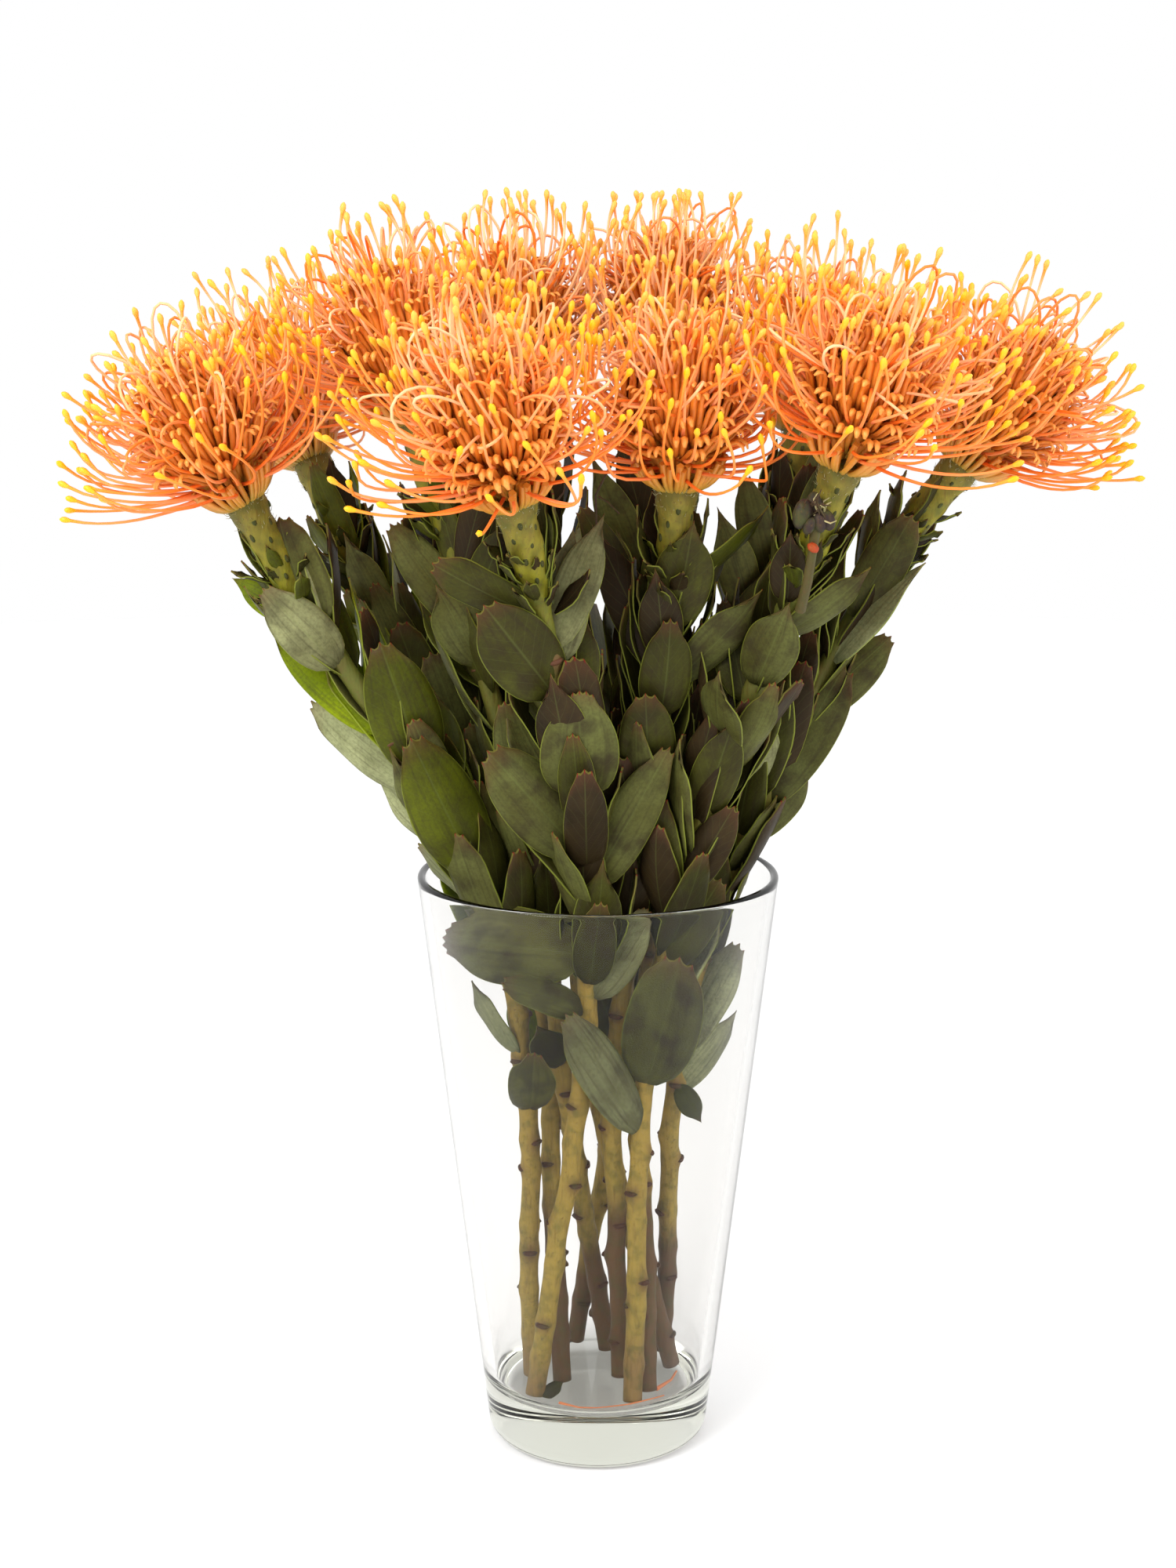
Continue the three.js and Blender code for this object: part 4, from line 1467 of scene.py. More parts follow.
@dataclass
class LeafMaker:
    """Makes the blades of one stem as thin closed plates in one mesh."""

    kit: Kit
    thickness: float = 0.7
    tip_trim: float = 0.11
    tip_breadth: float = 0.66
    tooth_length: float = 0.038
    wave_height: float = 0.9
    rib_depth: float = 0.35
    shades: Pair = (0.82, 1.15)

    def breadth(self, along: Array, seed: float, teeth: int) -> Array:
        """Half the width along the blade: round at the base, and pointed where it has one tooth.

        Args:
            along: shares of its length.
            seed: the leaf's own number, 0 to 1.
            teeth: how many teeth it has.

        Returns:
            Shares of half its greatest width.
        """
        broadest = mix(0.42, 0.56, draw(seed, 1, 2))
        tip = 0.2 if teeth == 1 else self.tip_breadth * mix(0.75, 1.1, draw(seed, 2, 2))
        rise = np.sqrt(1 - (1 - np.minimum(along / broadest, 1)) ** 2) ** 0.85
        fall = 1 - (1 - tip) * np.maximum((along - broadest) / (1 - broadest), 0) ** 2.1
        return rise * fall

    @staticmethod
    def teeth_at(aside: Array, count: int, columns: int) -> Array:
        """How far the teeth stand out at places across the tip, 0 to 1."""
        centres = {1: (0,), 3: (-0.5, 0, 0.5), 5: (-2 / 3, -1 / 3, 0, 1 / 3, 2 / 3)}[count]
        return sum(np.clip(1.3 - np.abs(aside - centre) * columns * 0.55, 0, 1) for centre in centres)

    def blade(self, leaf: Leaf) -> tuple[Array, dict[str, Array]]:
        """The corners of one blade.

        Args:
            leaf: the leaf.

        Returns:
            The corners of its outer face and then of its back, and their marks.
        """
        rows, columns = leaf.grid
        steps = mix(0.012, 1, np.linspace(0, 1, rows + 1) ** 0.9)
        lateral = np.linspace(-1, 1, columns + 1)
        row, aside = np.meshgrid(steps, lateral, indexing="ij")
        tooth = self.teeth_at(aside, leaf.teeth, columns)
        reach = 1 - self.tip_trim * np.abs(aside) ** 2.2 - self.tooth_length * (1 - tooth)
        along = row * mix(1, reach, row**2)
        width = leaf.width / 2 * self.breadth(row, leaf.seed, leaf.teeth)
        wave = np.sin(9 * row + 6.28 * leaf.seed + 1.5 * np.sign(aside))
        ripple = self.wave_height * wave * np.abs(aside) ** 3 * row
        rib = self.rib_depth * np.exp(-((aside * 9) ** 2)) * (1 - row)
        half = self.thickness / 2 * (1 - 0.35 * np.abs(aside) ** 4)
        surface = [leaf.point(along, aside * width, ripple + side * half - rib) for side in (1, -1)]
        points = np.vstack([s.reshape(-1, 3) for s in surface])
        count = len(points)
        place = np.stack([aside.ravel(), row.ravel(), np.full(count // 2, leaf.seed)], axis=1)
        shade = mix(*self.shades, draw(leaf.seed, 3, 1))
        tone, under = ([*(shade * v for v in green[:3]), 1.0] for green in leaf.look.greens)
        marks = {
            "blade": np.tile(place, (2, 1)),
            "red": np.tile(tooth.ravel(), 2),
            "blotch": np.full(count, leaf.look.blotch),
            "tone": np.tile(tone, (count, 1)),
            "under": np.tile(under, (count, 1)),
        }
        return points, marks

    @staticmethod
    def faces(rows: int, columns: int) -> tuple[list, list]:
        """The faces of one blade with so many rows and columns, and which make its thin edge."""
        wide = columns + 1
        back = (rows + 1) * wide
        faces, flats = [], []
        for i in range(rows):
            for j in range(columns):
                a = i * wide + j
                faces.append((a, a + 1, a + wide + 1, a + wide))
                faces.append((back + a, back + a + wide, back + a + wide + 1, back + a + 1))
                flats += [False, False]
        border = list(range(wide))
        border += [i * wide + columns for i in range(1, rows + 1)]
        border += [rows * wide + j for j in range(columns - 1, -1, -1)]
        border += [i * wide for i in range(rows - 1, 0, -1)]
        for a, b in zip(border, border[1:] + border[:1]):
            faces.append((b, a, back + a, back + b))
            flats.append(True)
        return faces, flats

    def build(self, name: str, leaves: list[Leaf]) -> Thing:
        """One mesh with all blades."""
        points, marks, all_faces, all_flats, start = [], [], [], [], 0
        for leaf in leaves:
            corners, values = self.blade(leaf)
            points.append(corners)
            marks.append(values)
            faces, flats = self.faces(*leaf.grid)
            all_faces += [tuple(start + i for i in face) for face in faces]
            all_flats += flats
            start += len(corners)
        together = {key: np.concatenate([m[key] for m in marks]) for key in marks[0]}
        thing = make_mesh(name, np.vstack(points), all_faces, together, all_flats)
        thing.data.materials.append(self.kit.leaf)
        return thing


# Stems


@dataclass
class Stalk:
    """One stem: bark with swollen joints, leaf scars, and a knobbly neck with dark bracts."""

    kit: Kit
    line: StemLine
    number: int
    dark_foot: float
    sides: int = 26
    ring_spacing: float = 2.6
    neck_ring_spacing: float = 0.9
    kink: float = 1.0
    scar_spacing: float = 17.0
    lowest_scar: float = 12.0
    joint_swell: float = 0.95
    joint_length: float = 3.2
    neck_growth: float = 1.17
    neck_knobs: int = 36
    knob_height: float = 0.8
    knob_length: float = 2.9
    knob_width: float = 2.7
    ridge_height: float = 0.15
    collar_hairs: int = 110
    hair_span: float = 11.0
    hair_length: float = 2.6
    hair_girths: Point = (0.17, 0.13, 0.05)
    # Painted shade in the creases of the neck.
    crease_shade: Colour = colour(64, 60, 18)
    stain_tone: Colour = colour(98, 62, 40)
    scar_tone: Colour = colour(84, 50, 30)
    bract_tone: Colour = colour(54, 58, 16)
    hair_tone: Colour = colour(178, 172, 128)

    def middle_at(self, shares: Array) -> Array:
        """The stalk's own middle: the stem's line, with a slight kink at each joint."""
        joints, _ = self.scar_places()
        k = np.arange(len(joints))
        ends = np.concatenate([[0], joints, [1 - STEM.neck_length / self.line.length, 1]])
        calm = smooth(k / 2) * self.kink
        points = self.line.at(shares)
        for seed, way in zip((36, 37), frame_of(self.line.way_at(shares))):
            kinks = np.concatenate([[0], calm * mix(-1, 1, draw(self.number, k, seed)), [0, 0]])
            points = points + way * np.interp(shares, ends, kinks)[:, None]
        return points

    def scar_places(self) -> tuple[Array, Array]:
        """Shares of the length and turns at which leaves have fallen."""
        k = np.arange(int((self.line.length - STEM.neck_length) / self.scar_spacing))
        along = self.lowest_scar + self.scar_spacing * (k + 0.5 * draw(self.number, k, 31))
        return along / self.line.length, k * GOLDEN_ANGLE + self.number

    def knob_places(self) -> tuple[Array, Array]:
        """Lengths below the head and turns of the knobs on the neck."""
        k = np.arange(self.neck_knobs)
        return mix(3.0, STEM.neck_length - 2, (k + 0.5) / self.neck_knobs), k * GOLDEN_ANGLE

    def girths(self, shares: Array, angle: Array) -> tuple[Array, Array]:
        """How far the bark stands off its middle.

        Args:
            shares: the share of the length of each ring.
            angle: the turn of each corner of a ring.

        Returns:
            The distances, and how much of a knob each place is, a row for each ring.
        """
        left = (1 - shares) * self.line.length
        radius = np.repeat(self.line.radius_at(shares)[:, None], self.sides, axis=1)
        for scar, turn in zip(*self.scar_places()):
            away = (shares - scar) * self.line.length / self.joint_length
            around = 0.45 + 0.55 * np.maximum(np.cos(angle - turn), 0)
            radius += self.joint_swell * np.exp(-(away**2))[:, None] * around
        in_neck = smooth((STEM.neck_length + 6 - left) / 14) * smooth(left / 7)
        radius *= mix(1, self.neck_growth, in_neck)[:, None]
        crest = np.zeros_like(radius)
        for k, (down, turn) in enumerate(zip(*self.knob_places())):
            gap = (angle - turn + math.pi) % (2 * math.pi) - math.pi
            lump = ((left - down)[:, None] / self.knob_length) ** 2 + (gap * 6.2 / self.knob_width) ** 2
            crest += np.exp(-lump) * mix(0.55, 1.15, draw(self.number, k, 34))
        ridges = self.ridge_height * np.sin(3 * angle + 0.05 * left[:, None] + self.number)
        return radius + self.knob_height * crest + ridges, crest

    def tones(self, shares: Array) -> Array:
        """The bark's colour along it: dark foot, golden olive, green and the neck's lime."""
        foot, top = self.dark_foot, int(self.line.length)
        dark = colour(112, 82, 50) if foot > 20 else colour(150, 120, 66)
        heights = [0, foot, foot + 16, 150, 230, top - 60, top - 30, top - 4]
        golden = (colour(178, 152, 66), colour(170, 140, 58))
        olive = (colour(112, 104, 40), colour(82, 86, 30))
        shades = np.array([dark, dark, *golden, *olive, colour(130, 126, 22), colour(128, 116, 42)])
        up = shares * self.line.length
        return np.stack([np.interp(up, heights, part) for part in shades.T], axis=1)

    def marked(self, shares: Array, angle: Array, crest: Array) -> Array:
        """The bark's colour with painted shade in the creases of its neck and the stains round its scars.

        Args:
            shares: the share of the length of each ring.
            angle: the turn of each corner of a ring.
            crest: how much of a knob each place is.

        Returns:
            A colour for each corner, a row for each ring.
        """
        left = (1 - shares) * self.line.length
        tone = np.repeat(self.tones(shares)[:, None], self.sides, axis=1)
        in_neck = smooth((STEM.neck_length + 4 - left) / 8)[:, None, None]
        # Painted shade: the neck darkens between its knobs.
        between = (1 - smooth(crest * 1.6 - 0.1))[..., None]
        tone = mix(tone, np.array(self.crease_shade), in_neck * between * 0.45)
        stain = np.zeros_like(crest)
        for k, (scar, turn) in enumerate(zip(*self.scar_places())):
            away = (shares - scar) * self.line.length / mix(2, 5, draw(self.number, k, 35))
            stain += np.exp(-(away**2))[:, None] * np.maximum(np.cos(angle - turn), 0) ** 2
        return mix(tone, np.array(self.stain_tone), np.clip(stain, 0, 1)[..., None] * 0.8)

    def skin(self) -> Thing:
        """The bark as one closed tube."""
        neck_starts = 1 - STEM.neck_length / self.line.length
        neck = np.linspace(neck_starts, 1, int(STEM.neck_length / self.neck_ring_spacing))
        below = np.linspace(0, neck_starts, int(self.line.length / self.ring_spacing))
        shares = np.unique(np.append(below, neck))
        angle = circle(self.sides)
        radius, crest = self.girths(shares, angle)
        across, beyond = frame_of(self.line.way_at(shares))
        points = (
            self.middle_at(shares)[:, None]
            + across[:, None] * (radius * np.cos(angle))[..., None]
            + beyond[:, None] * (radius * np.sin(angle))[..., None]
        )
        marks = {"tone": self.marked(shares, angle, crest).reshape(-1, 4)}
        thing = make_mesh("skin", points.reshape(-1, 3), loft_faces(len(shares), self.sides), marks)
        thing.data.materials.append(self.kit.bark)
        return thing

    def scatter(
        self,
        shape: Thing,
        shares: Array,
        turns: Array,
        rise: Array,
        size: float | Array,
        tilt: float,
        tone: Colour,
    ) -> Thing:
        """Sets copies of a small piece on the bark.

        Args:
            shape: the piece, with Z out of the bark and Y up the stem.
            shares: shares of the length at which they sit.
            turns: the turn of each about the stem.
            rise: how far each stands off the line.
            size: their scale.
            tilt: their lean outwards.
            tone: their colour.

        Returns:
            The pieces as one mesh.
        """
        way = self.line.way_at(shares)
        out = outward(way, turns)
        up = way * math.cos(tilt) + out * math.sin(tilt)
        normal = out * math.cos(tilt) - way * math.sin(tilt)
        marks = {
            "turn": euler_rows(np.cross(up, normal), up, normal),
            "size": np.repeat((size * np.ones(len(shares)))[:, None], 3, axis=1),
            "tone": np.tile(tone, (len(shares), 1)),
        }
        spots = make_mesh("spots", self.middle_at(shares) + out * rise[:, None], [], marks)
        return self.kit.scatter.run(spots, Piece=shape, Finish=self.kit.bark)

    def hairs(self) -> Thing:
        """The pale down on the collar under the head, as one mesh."""
        index = np.arange(self.collar_hairs)
        shares = 1 - (0.5 + self.hair_span * draw(self.number, index, 71) ** 1.5) / self.line.length
        way = self.line.way_at(shares)
        out = outward(way, index * GOLDEN_ANGLE)
        root = self.line.at(shares) + out * (self.line.radius_at(shares)[:, None] * 0.98)
        lean = unit(out + way * mix(-0.9, 1.1, draw(self.number, index, 72))[:, None])
        length = self.hair_length * mix(0.5, 1.2, draw(self.number, index, 73))[:, None]
        lines = np.stack([root, root + lean * length * 0.55, root + unit(lean * 2 + way) * length], axis=1)
        girth = self.hair_girths
        return self.kit.sweep.along("hairs", lines, 3, self.kit.bark, self.hair_tone, girth=girth)

    def build(self, scar: Thing, bract: Thing) -> None:
        """Makes the stem from its skin, its scars, the bracts on its neck and its down."""
        shares, turns = self.scar_places()
        rise = self.line.radius_at(shares) + self.joint_swell * 0.8
        scars = self.scatter(scar, shares, turns, rise, 1.25, 0.12, self.scar_tone)
        down, turns = self.knob_places()
        shares = 1 - (down + 1.5) / self.line.length
        rise = self.line.radius_at(shares) * self.neck_growth + self.knob_height * 0.55
        size = mix(0.8, 1.3, draw(self.number, np.arange(self.neck_knobs), 33))
        bracts = self.scatter(bract, shares, turns, rise, size, 0.0, self.bract_tone)
        node = f"stem_{self.number + 1:02d}"
        settle(joined(f"{node}_stalk", [self.skin(), scars, bracts, self.hairs()]), node)


def pad_shape(name: str, wide: float, tall: float, high: float) -> Thing:
    """A low oval pad, with Z out of the bark.

    Args:
        name: the new object's name.
        wide: half its width in millimetres.
        tall: half its height up the stem.
        high: how far it stands out.

    Returns:
        The pad.
    """
    sides = 8
    oval = np.stack([wide * np.cos(circle(sides)), tall * np.sin(circle(sides))], axis=1)
    levels = ((-0.9, 1.0), (high * 0.4, 0.85), (high, 0.45))
    rings = [np.column_stack([oval * share, np.full(sides, depth)]) for depth, share in levels]
    return make_mesh(name, np.vstack(rings), loft_faces(len(levels), sides))


# Heads


@dataclass
class Bloom:
    """One flower head: packed curled florets, and the long styles that stand out of them.

    A pair is a range, for the lowest first where it follows the height. Angles are degrees.
    """

    STYLE_STEPS: ClassVar[tuple[int, ...]] = (0, 3, 6, 9, 12, 14, 16, 18, 20, 22, 24)

    kit: Kit
    head: Head
    heads: list[Head]
    styles: int = 180
    style_radius: float = 0.62
    style_lengths: Pair = (58.0, 42.0)
    leave_cosines: Pair = (-0.07, 0.97)
    end_angles: Pair = (22, -2)
    end_spread: float = 58.0
    sway: float = 0.7
    standing_share: float = 0.28
    standing_growth: float = 1.2
    crown_growth: float = 0.72
    droop_taken: float = 0.4
    tip_radius: float = 1.18
    tip_length: float = 4.0
    tip_girths: tuple[float, ...] = (0.74, 1.0, 0.86, 0.3)
    thinned_ahead: float = -0.5
    thinned_between: Pair = (0.1, 0.62)
    thinned_share: float = 0.45
    far_from: float = 20.0
    loops: int = 42
    loop_heights: Pair = (12, 27)
    loop_points: int = 11
    skirt_tubes: int = 38
    florets: int = 138
    tube_points: int = 6
    core_radius: float = 17.4
    core_half_height: float = 20.0
    core_centre: float = 27.0
    core_depth: float = 3.2
    core_rings: int = 13
    core_sides: int = 18
    cell_margin: float = 2.0
    cell_softness: float = 9.0
    head_keep: float = 25.0
    neck_keep: float = 8.0

    @property
    def own(self) -> int:
        """The head's number, from 0."""
        return self.head.number

    def chance(self, count: int, seed: int) -> Array:
        """The head's own draws, 0 to 1, for so many things."""
        return draw(self.own, np.arange(count), seed)

    def bent_home(self, points: Array) -> Array:
        """Bends what would leave the head's own share of the bunch back before the next head."""
        points = points.copy()
        for other in self.heads:
            if other.number == self.own:
                continue
            towards = other.centre - self.head.centre
            wall = np.linalg.norm(towards) / 2 - self.cell_margin
            towards = unit(towards)
            along = (points - self.head.centre) @ towards
            soft = wall - self.cell_softness
            bent = wall - self.cell_softness * np.exp((soft - along) / self.cell_softness)
            points += np.where(along > soft, bent - along, 0)[..., None] * towards
        return points

    def hits_core(self, points: Array) -> Array:
        """Which lines run into the florets or the neck of another head."""
        hit = np.zeros(len(points), dtype=bool)
        for other in self.heads:
            if other.number == self.own:
                continue
            rise = points - other.base
            for low, high, keep in ((16, 36, self.head_keep), (-40, 8, self.neck_keep)):
                up = np.clip(rise @ other.axis, low, high)
                gap = np.linalg.norm(rise - up[..., None] * other.axis, axis=-1)
                hit |= np.any(gap < keep, axis=1)
        return hit

    def style_lines(self) -> Array:
        """The middle lines of the styles, with their points closer together near the tip."""
        index = np.arange(self.styles)
        share = (index + 0.5) / self.styles
        turn = index * GOLDEN_ANGLE + self.own
        leave = np.arccos(mix(*self.leave_cosines, share))
        leave = leave + np.radians(12 * (self.chance(self.styles, 1) - 0.5))
        stray = self.end_spread * (self.chance(self.styles, 2) - 0.5)
        end = np.radians(mix(*self.end_angles, share) + stray)
        sway = self.sway * (self.chance(self.styles, 3) - 0.5)
        length = mix(*self.style_lengths, share) * mix(0.86, 1.06, self.chance(self.styles, 4))
        standing = self.chance(self.styles, 7) > 1 - self.standing_share
        others = mix(1, self.crown_growth, smooth(share * 2.6 - 1.2))
        length = length * np.where(standing, mix(1, self.standing_growth, share), others)
        late = mix(1.2, 2.6, self.chance(self.styles, 5))
        out, up = mix(5, 1, share), mix(4, 27, share**0.8)
        fine = self.STYLE_STEPS[-1]
        points = []
        for i in range(fine + 1):
            if i in self.STYLE_STEPS:
                points.append(self.head.place(out, up, turn + sway * (i / fine) ** 2))
            slant = mix(leave, end, ((i + 0.5) / fine) ** late)
            out = out + length / fine * np.sin(slant)
            up = up + length / fine * np.cos(slant)
        natural = np.stack(points, axis=1)
        drop = np.minimum(natural[:, :, 2] - natural[:, :1, 2], 0)
        natural[:, :, 2] -= self.droop_taken * drop
        return np.where(self.hits_core(natural)[:, None, None], self.bent_home(natural), natural)

    def kept_in_box(self, lines: Array) -> Array:
        """Shortens the lines that would reach past the solids' outer box."""
        margin = self.tip_radius + 0.2
        low, high = (np.array(corner) / MM for corner in CAD_BOX)
        start = lines[:, :1]
        way = lines - start
        room = np.where(way > 0, high - margin - start, start - low - margin)
        share = np.where(np.abs(way) > 1e-6, room / np.maximum(np.abs(way), 1e-6), 1)
        return start + way * np.clip(np.min(share, axis=(1, 2)), 0, 1)[:, None, None]

    def thinned(self, lines: Array) -> Array:
        """The styles that are kept: the low ones in front leave the florets in view."""
        share = (np.arange(self.styles) + 0.5) / self.styles
        ahead = unit(lines[:, 3] - lines[:, 0])[:, 1] < self.thinned_ahead
        low = (share > self.thinned_between[0]) & (share < self.thinned_between[1])
        return np.flatnonzero(~(ahead & low & (self.chance(self.styles, 8) < self.thinned_share)))

    def make_styles(self) -> Thing:
        """The styles with their swollen tips, and the loops of those that are still caught."""
        lines = self.style_lines()
        index = self.thinned(lines)
        lines = lines[index]
        way = unit(lines[:, -1] - lines[:, -2])[:, None]
        steps = np.array([0.2, 0.5, 0.8, 1.0])[:, None] * self.tip_length
        lines = self.kept_in_box(np.concatenate([lines, lines[:, -1:] + way * steps], axis=1))
        along = np.array(self.STYLE_STEPS) / self.STYLE_STEPS[-1]
        girth = self.style_radius * (mix(1.2, 0.66, along) + 0.4 * smooth(along * 7 - 6))
        girth = np.append(girth, self.tip_radius * np.array(self.tip_girths))
        grow = np.append(along, [1.3, 1.6, 1.8, 2.0])
        # Painted light: the tint mark, which the style finish turns into pale peach, rises with height in
        # the crown and for every style of the far heads.
        far = 0.5 if self.head.base[1] > self.far_from else 0.0
        high = np.minimum(far + (index / self.styles) ** 1.8, 1)
        tint = mix(self.chance(self.styles, 6)[index] * 0.45, 1.0, high)[:, None]
        sweep = self.kit.sweep.along
        styles = sweep("styles", lines, 5, self.kit.style, girth=girth, grow=grow, tint=tint)
        return joined(f"bloom_{self.own + 1:02d}_styles", [styles, self.make_loops()])

    def make_loops(self) -> Thing:
        """Styles whose tips are still held by a floret, as arches over the crown."""
        index = np.arange(self.loops)
        steps = np.linspace(0, 1, self.loop_points)
        tilt = np.radians(mix(8, 84, ((index + 0.5) / self.loops) ** 0.8))[:, None]
        turn = (index * GOLDEN_ANGLE * 1.7 + self.own)[:, None]
        spread = np.radians(mix(18, 48, self.chance(self.loops, 41)))[:, None]
        height = mix(*self.loop_heights, self.chance(self.loops, 42) ** 1.3)[:, None]
        lean = mix(-1, 1, self.chance(self.loops, 43))[:, None]
        arch = np.sin(math.pi * steps) ** 0.8
        angle = turn + spread * lean * (steps - 0.5) / np.maximum(np.sin(tilt), 0.4)
        polar = tilt + spread * (1 - np.abs(lean)) * (steps - 0.5)
        reach = self.core_radius + 3 + height * arch
        lines = self.head.place(reach * np.sin(polar), self.core_centre + reach * np.cos(polar), angle)
        marks = {"grow": mix(0.3, 0.8, steps), "tint": self.chance(self.loops, 44)[:, None]}
        girth = self.style_radius * 0.86
        return self.kit.sweep.along("loops", lines, 5, self.kit.style, girth=girth, **marks)

    def floret_places(self) -> tuple[Array, Array, Array, Array]:
        """Where the florets sit on the core.

        Returns:
            The places, and each floret's ways across, to the crown and out.
        """
        index = np.arange(self.florets)
        polar = np.arccos(mix(-0.62, 0.995, (index + 0.5) / self.florets))
        turn = index * GOLDEN_ANGLE + self.own
        up = self.core_centre + self.core_half_height * np.cos(polar)
        spot = self.head.place(self.core_radius * np.sin(polar), up, turn)
        lift = np.radians(16 * (self.chance(self.florets, 51) - 0.5))
        out = self.head.ways(np.sin(polar + lift), np.cos(polar + lift), turn)
        crown = unit(self.head.axis - out * (out @ self.head.axis)[:, None])
        return spot, np.cross(crown, out), crown, out

    def make_florets(self, floret: Thing) -> Thing:
        """Makes the curled ends, the tubes behind them and the middle, painted dark as shade.

        Args:
            floret: the shape of a curled end.

        Returns:
            All of them as one mesh.
        """
        spot, across, crown, out = self.floret_places()
        index = np.arange(self.florets)
        swing = np.radians(30 * (self.chance(self.florets, 52) - 0.5))[:, None]
        side = across * np.cos(swing) + crown * np.sin(swing)
        top = crown * np.cos(swing) - across * np.sin(swing)
        size = mix(1.05, 1.35, self.chance(self.florets, 53))
        tall = size * mix(0.85, 1.2, self.chance(self.florets, 54))
        turns = {"turn": euler_rows(side, top, out), "size": np.stack([size, tall, size], axis=1)}
        spots = make_mesh("curls", spot, [], turns)
        curls = self.kit.scatter.run(spots, Piece=floret, Seed=self.own, Finish=self.kit.floret)
        up = mix(2.5, 16, index / self.florets)
        start = self.head.place(np.full(self.florets, 4.6), up, index * GOLDEN_ANGLE + self.own)[:, None]
        end = (spot - top * 4.2 - out * 2.6)[:, None]
        middle = (start + end) / 2 + out[:, None] * 1.5 - self.head.axis * 1.5
        steps = np.linspace(0, 1, self.tube_points)
        t = steps[:, None]
        lines = start * (1 - t) ** 2 + middle * 2 * t * (1 - t) + end * t**2
        marks = {"grow": steps * 0.4, "tint": self.chance(self.florets, 55)[:, None]}
        girth = mix(0.95, 1.35, steps)
        tubes = self.kit.sweep.along("tubes", lines, 4, self.kit.floret, girth=girth, **marks)
        name = f"bloom_{self.own + 1:02d}_florets"
        return joined(name, [curls, tubes, self.make_skirt(), self.make_core()])

    def make_skirt(self) -> Thing:
        """The long tubes of the lowest florets, which fan out of the collar, as one mesh."""
        count = self.skirt_tubes
        steps = np.linspace(0, 1, self.tube_points)
        out = mix(5.6, mix(14.0, 18.0, self.chance(count, 56))[:, None], steps**0.8)
        up = mix(-0.6, mix(7, 13, self.chance(count, 57))[:, None], steps**1.6)
        turn = (np.arange(count) * GOLDEN_ANGLE + 1.0)[:, None]
        lines = self.head.place(out, up, turn + 0.3 * (self.chance(count, 58)[:, None] - 0.5) * steps)
        marks = {"grow": steps * 0.35, "tint": self.chance(count, 59)[:, None]}
        girth = mix(1.0, 1.35, steps)
        return self.kit.sweep.along("skirt", lines, 4, self.kit.floret, girth=girth, **marks)

    def make_core(self) -> Thing:
        """The receptacle that the florets are packed on, painted dark as shade, darkest at its bottom."""
        rings, sides = self.core_rings, self.core_sides
        polar = np.linspace(0.06, math.pi - 0.12, rings)[:, None]
        angle = np.tile(circle(sides), (rings, 1))
        out = (self.core_radius - self.core_depth) * np.sin(polar) * np.ones(sides)
        up = self.core_centre - (self.core_half_height - self.core_depth) * np.cos(polar) * np.ones(sides)
        # Painted shade: deep runs from 1 on the lowest ring to 0.4 on the highest.
        deep = np.repeat(np.linspace(1.0, 0.4, rings), sides)
        marks = {"deep": deep, "grow": np.full(rings * sides, 0.72)}
        points = self.head.place(out, up, angle).reshape(-1, 3)
        core = make_mesh("core", points, loft_faces(rings, sides), marks)
        core.data.materials.append(self.kit.floret)
        return core

    def build(self, floret: Thing) -> None:
        """Makes the head's pieces."""
        for piece in (self.make_florets(floret), self.make_styles()):
            settle(piece, f"bloom_{self.own + 1:02d}")


def floret_shape() -> Thing:
    """A pair of curled claws, 3.4 mm across, with Z out of the head and Y to its crown."""
    back = [(-6.4, -3.4), (-4.4, -0.6), (-1.8, 1.2), (1.0, 2.2)]
    path = np.array([*back, (3.6, 3.0), (5.4, 4.4), (5.5, 6.2), (4.4, 7.2)])
    wide = [0.6, 0.75, 0.88, 0.95, 1.0, 0.98, 0.85, 0.4]
    thick = [0.4, 0.5, 0.58, 0.6, 0.6, 0.55, 0.45, 0.25]
    count, sides = len(path), ((1, 0), (0, 1), (-1, 0), (0, -1))
    along = unit(np.gradient(path, axis=0))
    normal = np.stack([-along[:, 1], along[:, 0]], axis=1)
    points, faces, grow = [], [], []
    for k, aside in enumerate((-1.02, 1.02)):
        for i in range(count):
            share = i / (count - 1)
            for x, n in sides:
                y, z = path[i] + normal[i] * n * thick[i]
                points.append((aside * mix(0.8, 1.1, share) + x * wide[i], y, z))
                grow.append(mix(0.4, 1.0, share))
        first = k * count * len(sides)
        faces += [tuple(first + c for c in face) for face in loft_faces(count, len(sides))]
    return make_mesh("floret_shape", np.array(points), faces, {"grow": np.array(grow)})


# What is dry or fallen


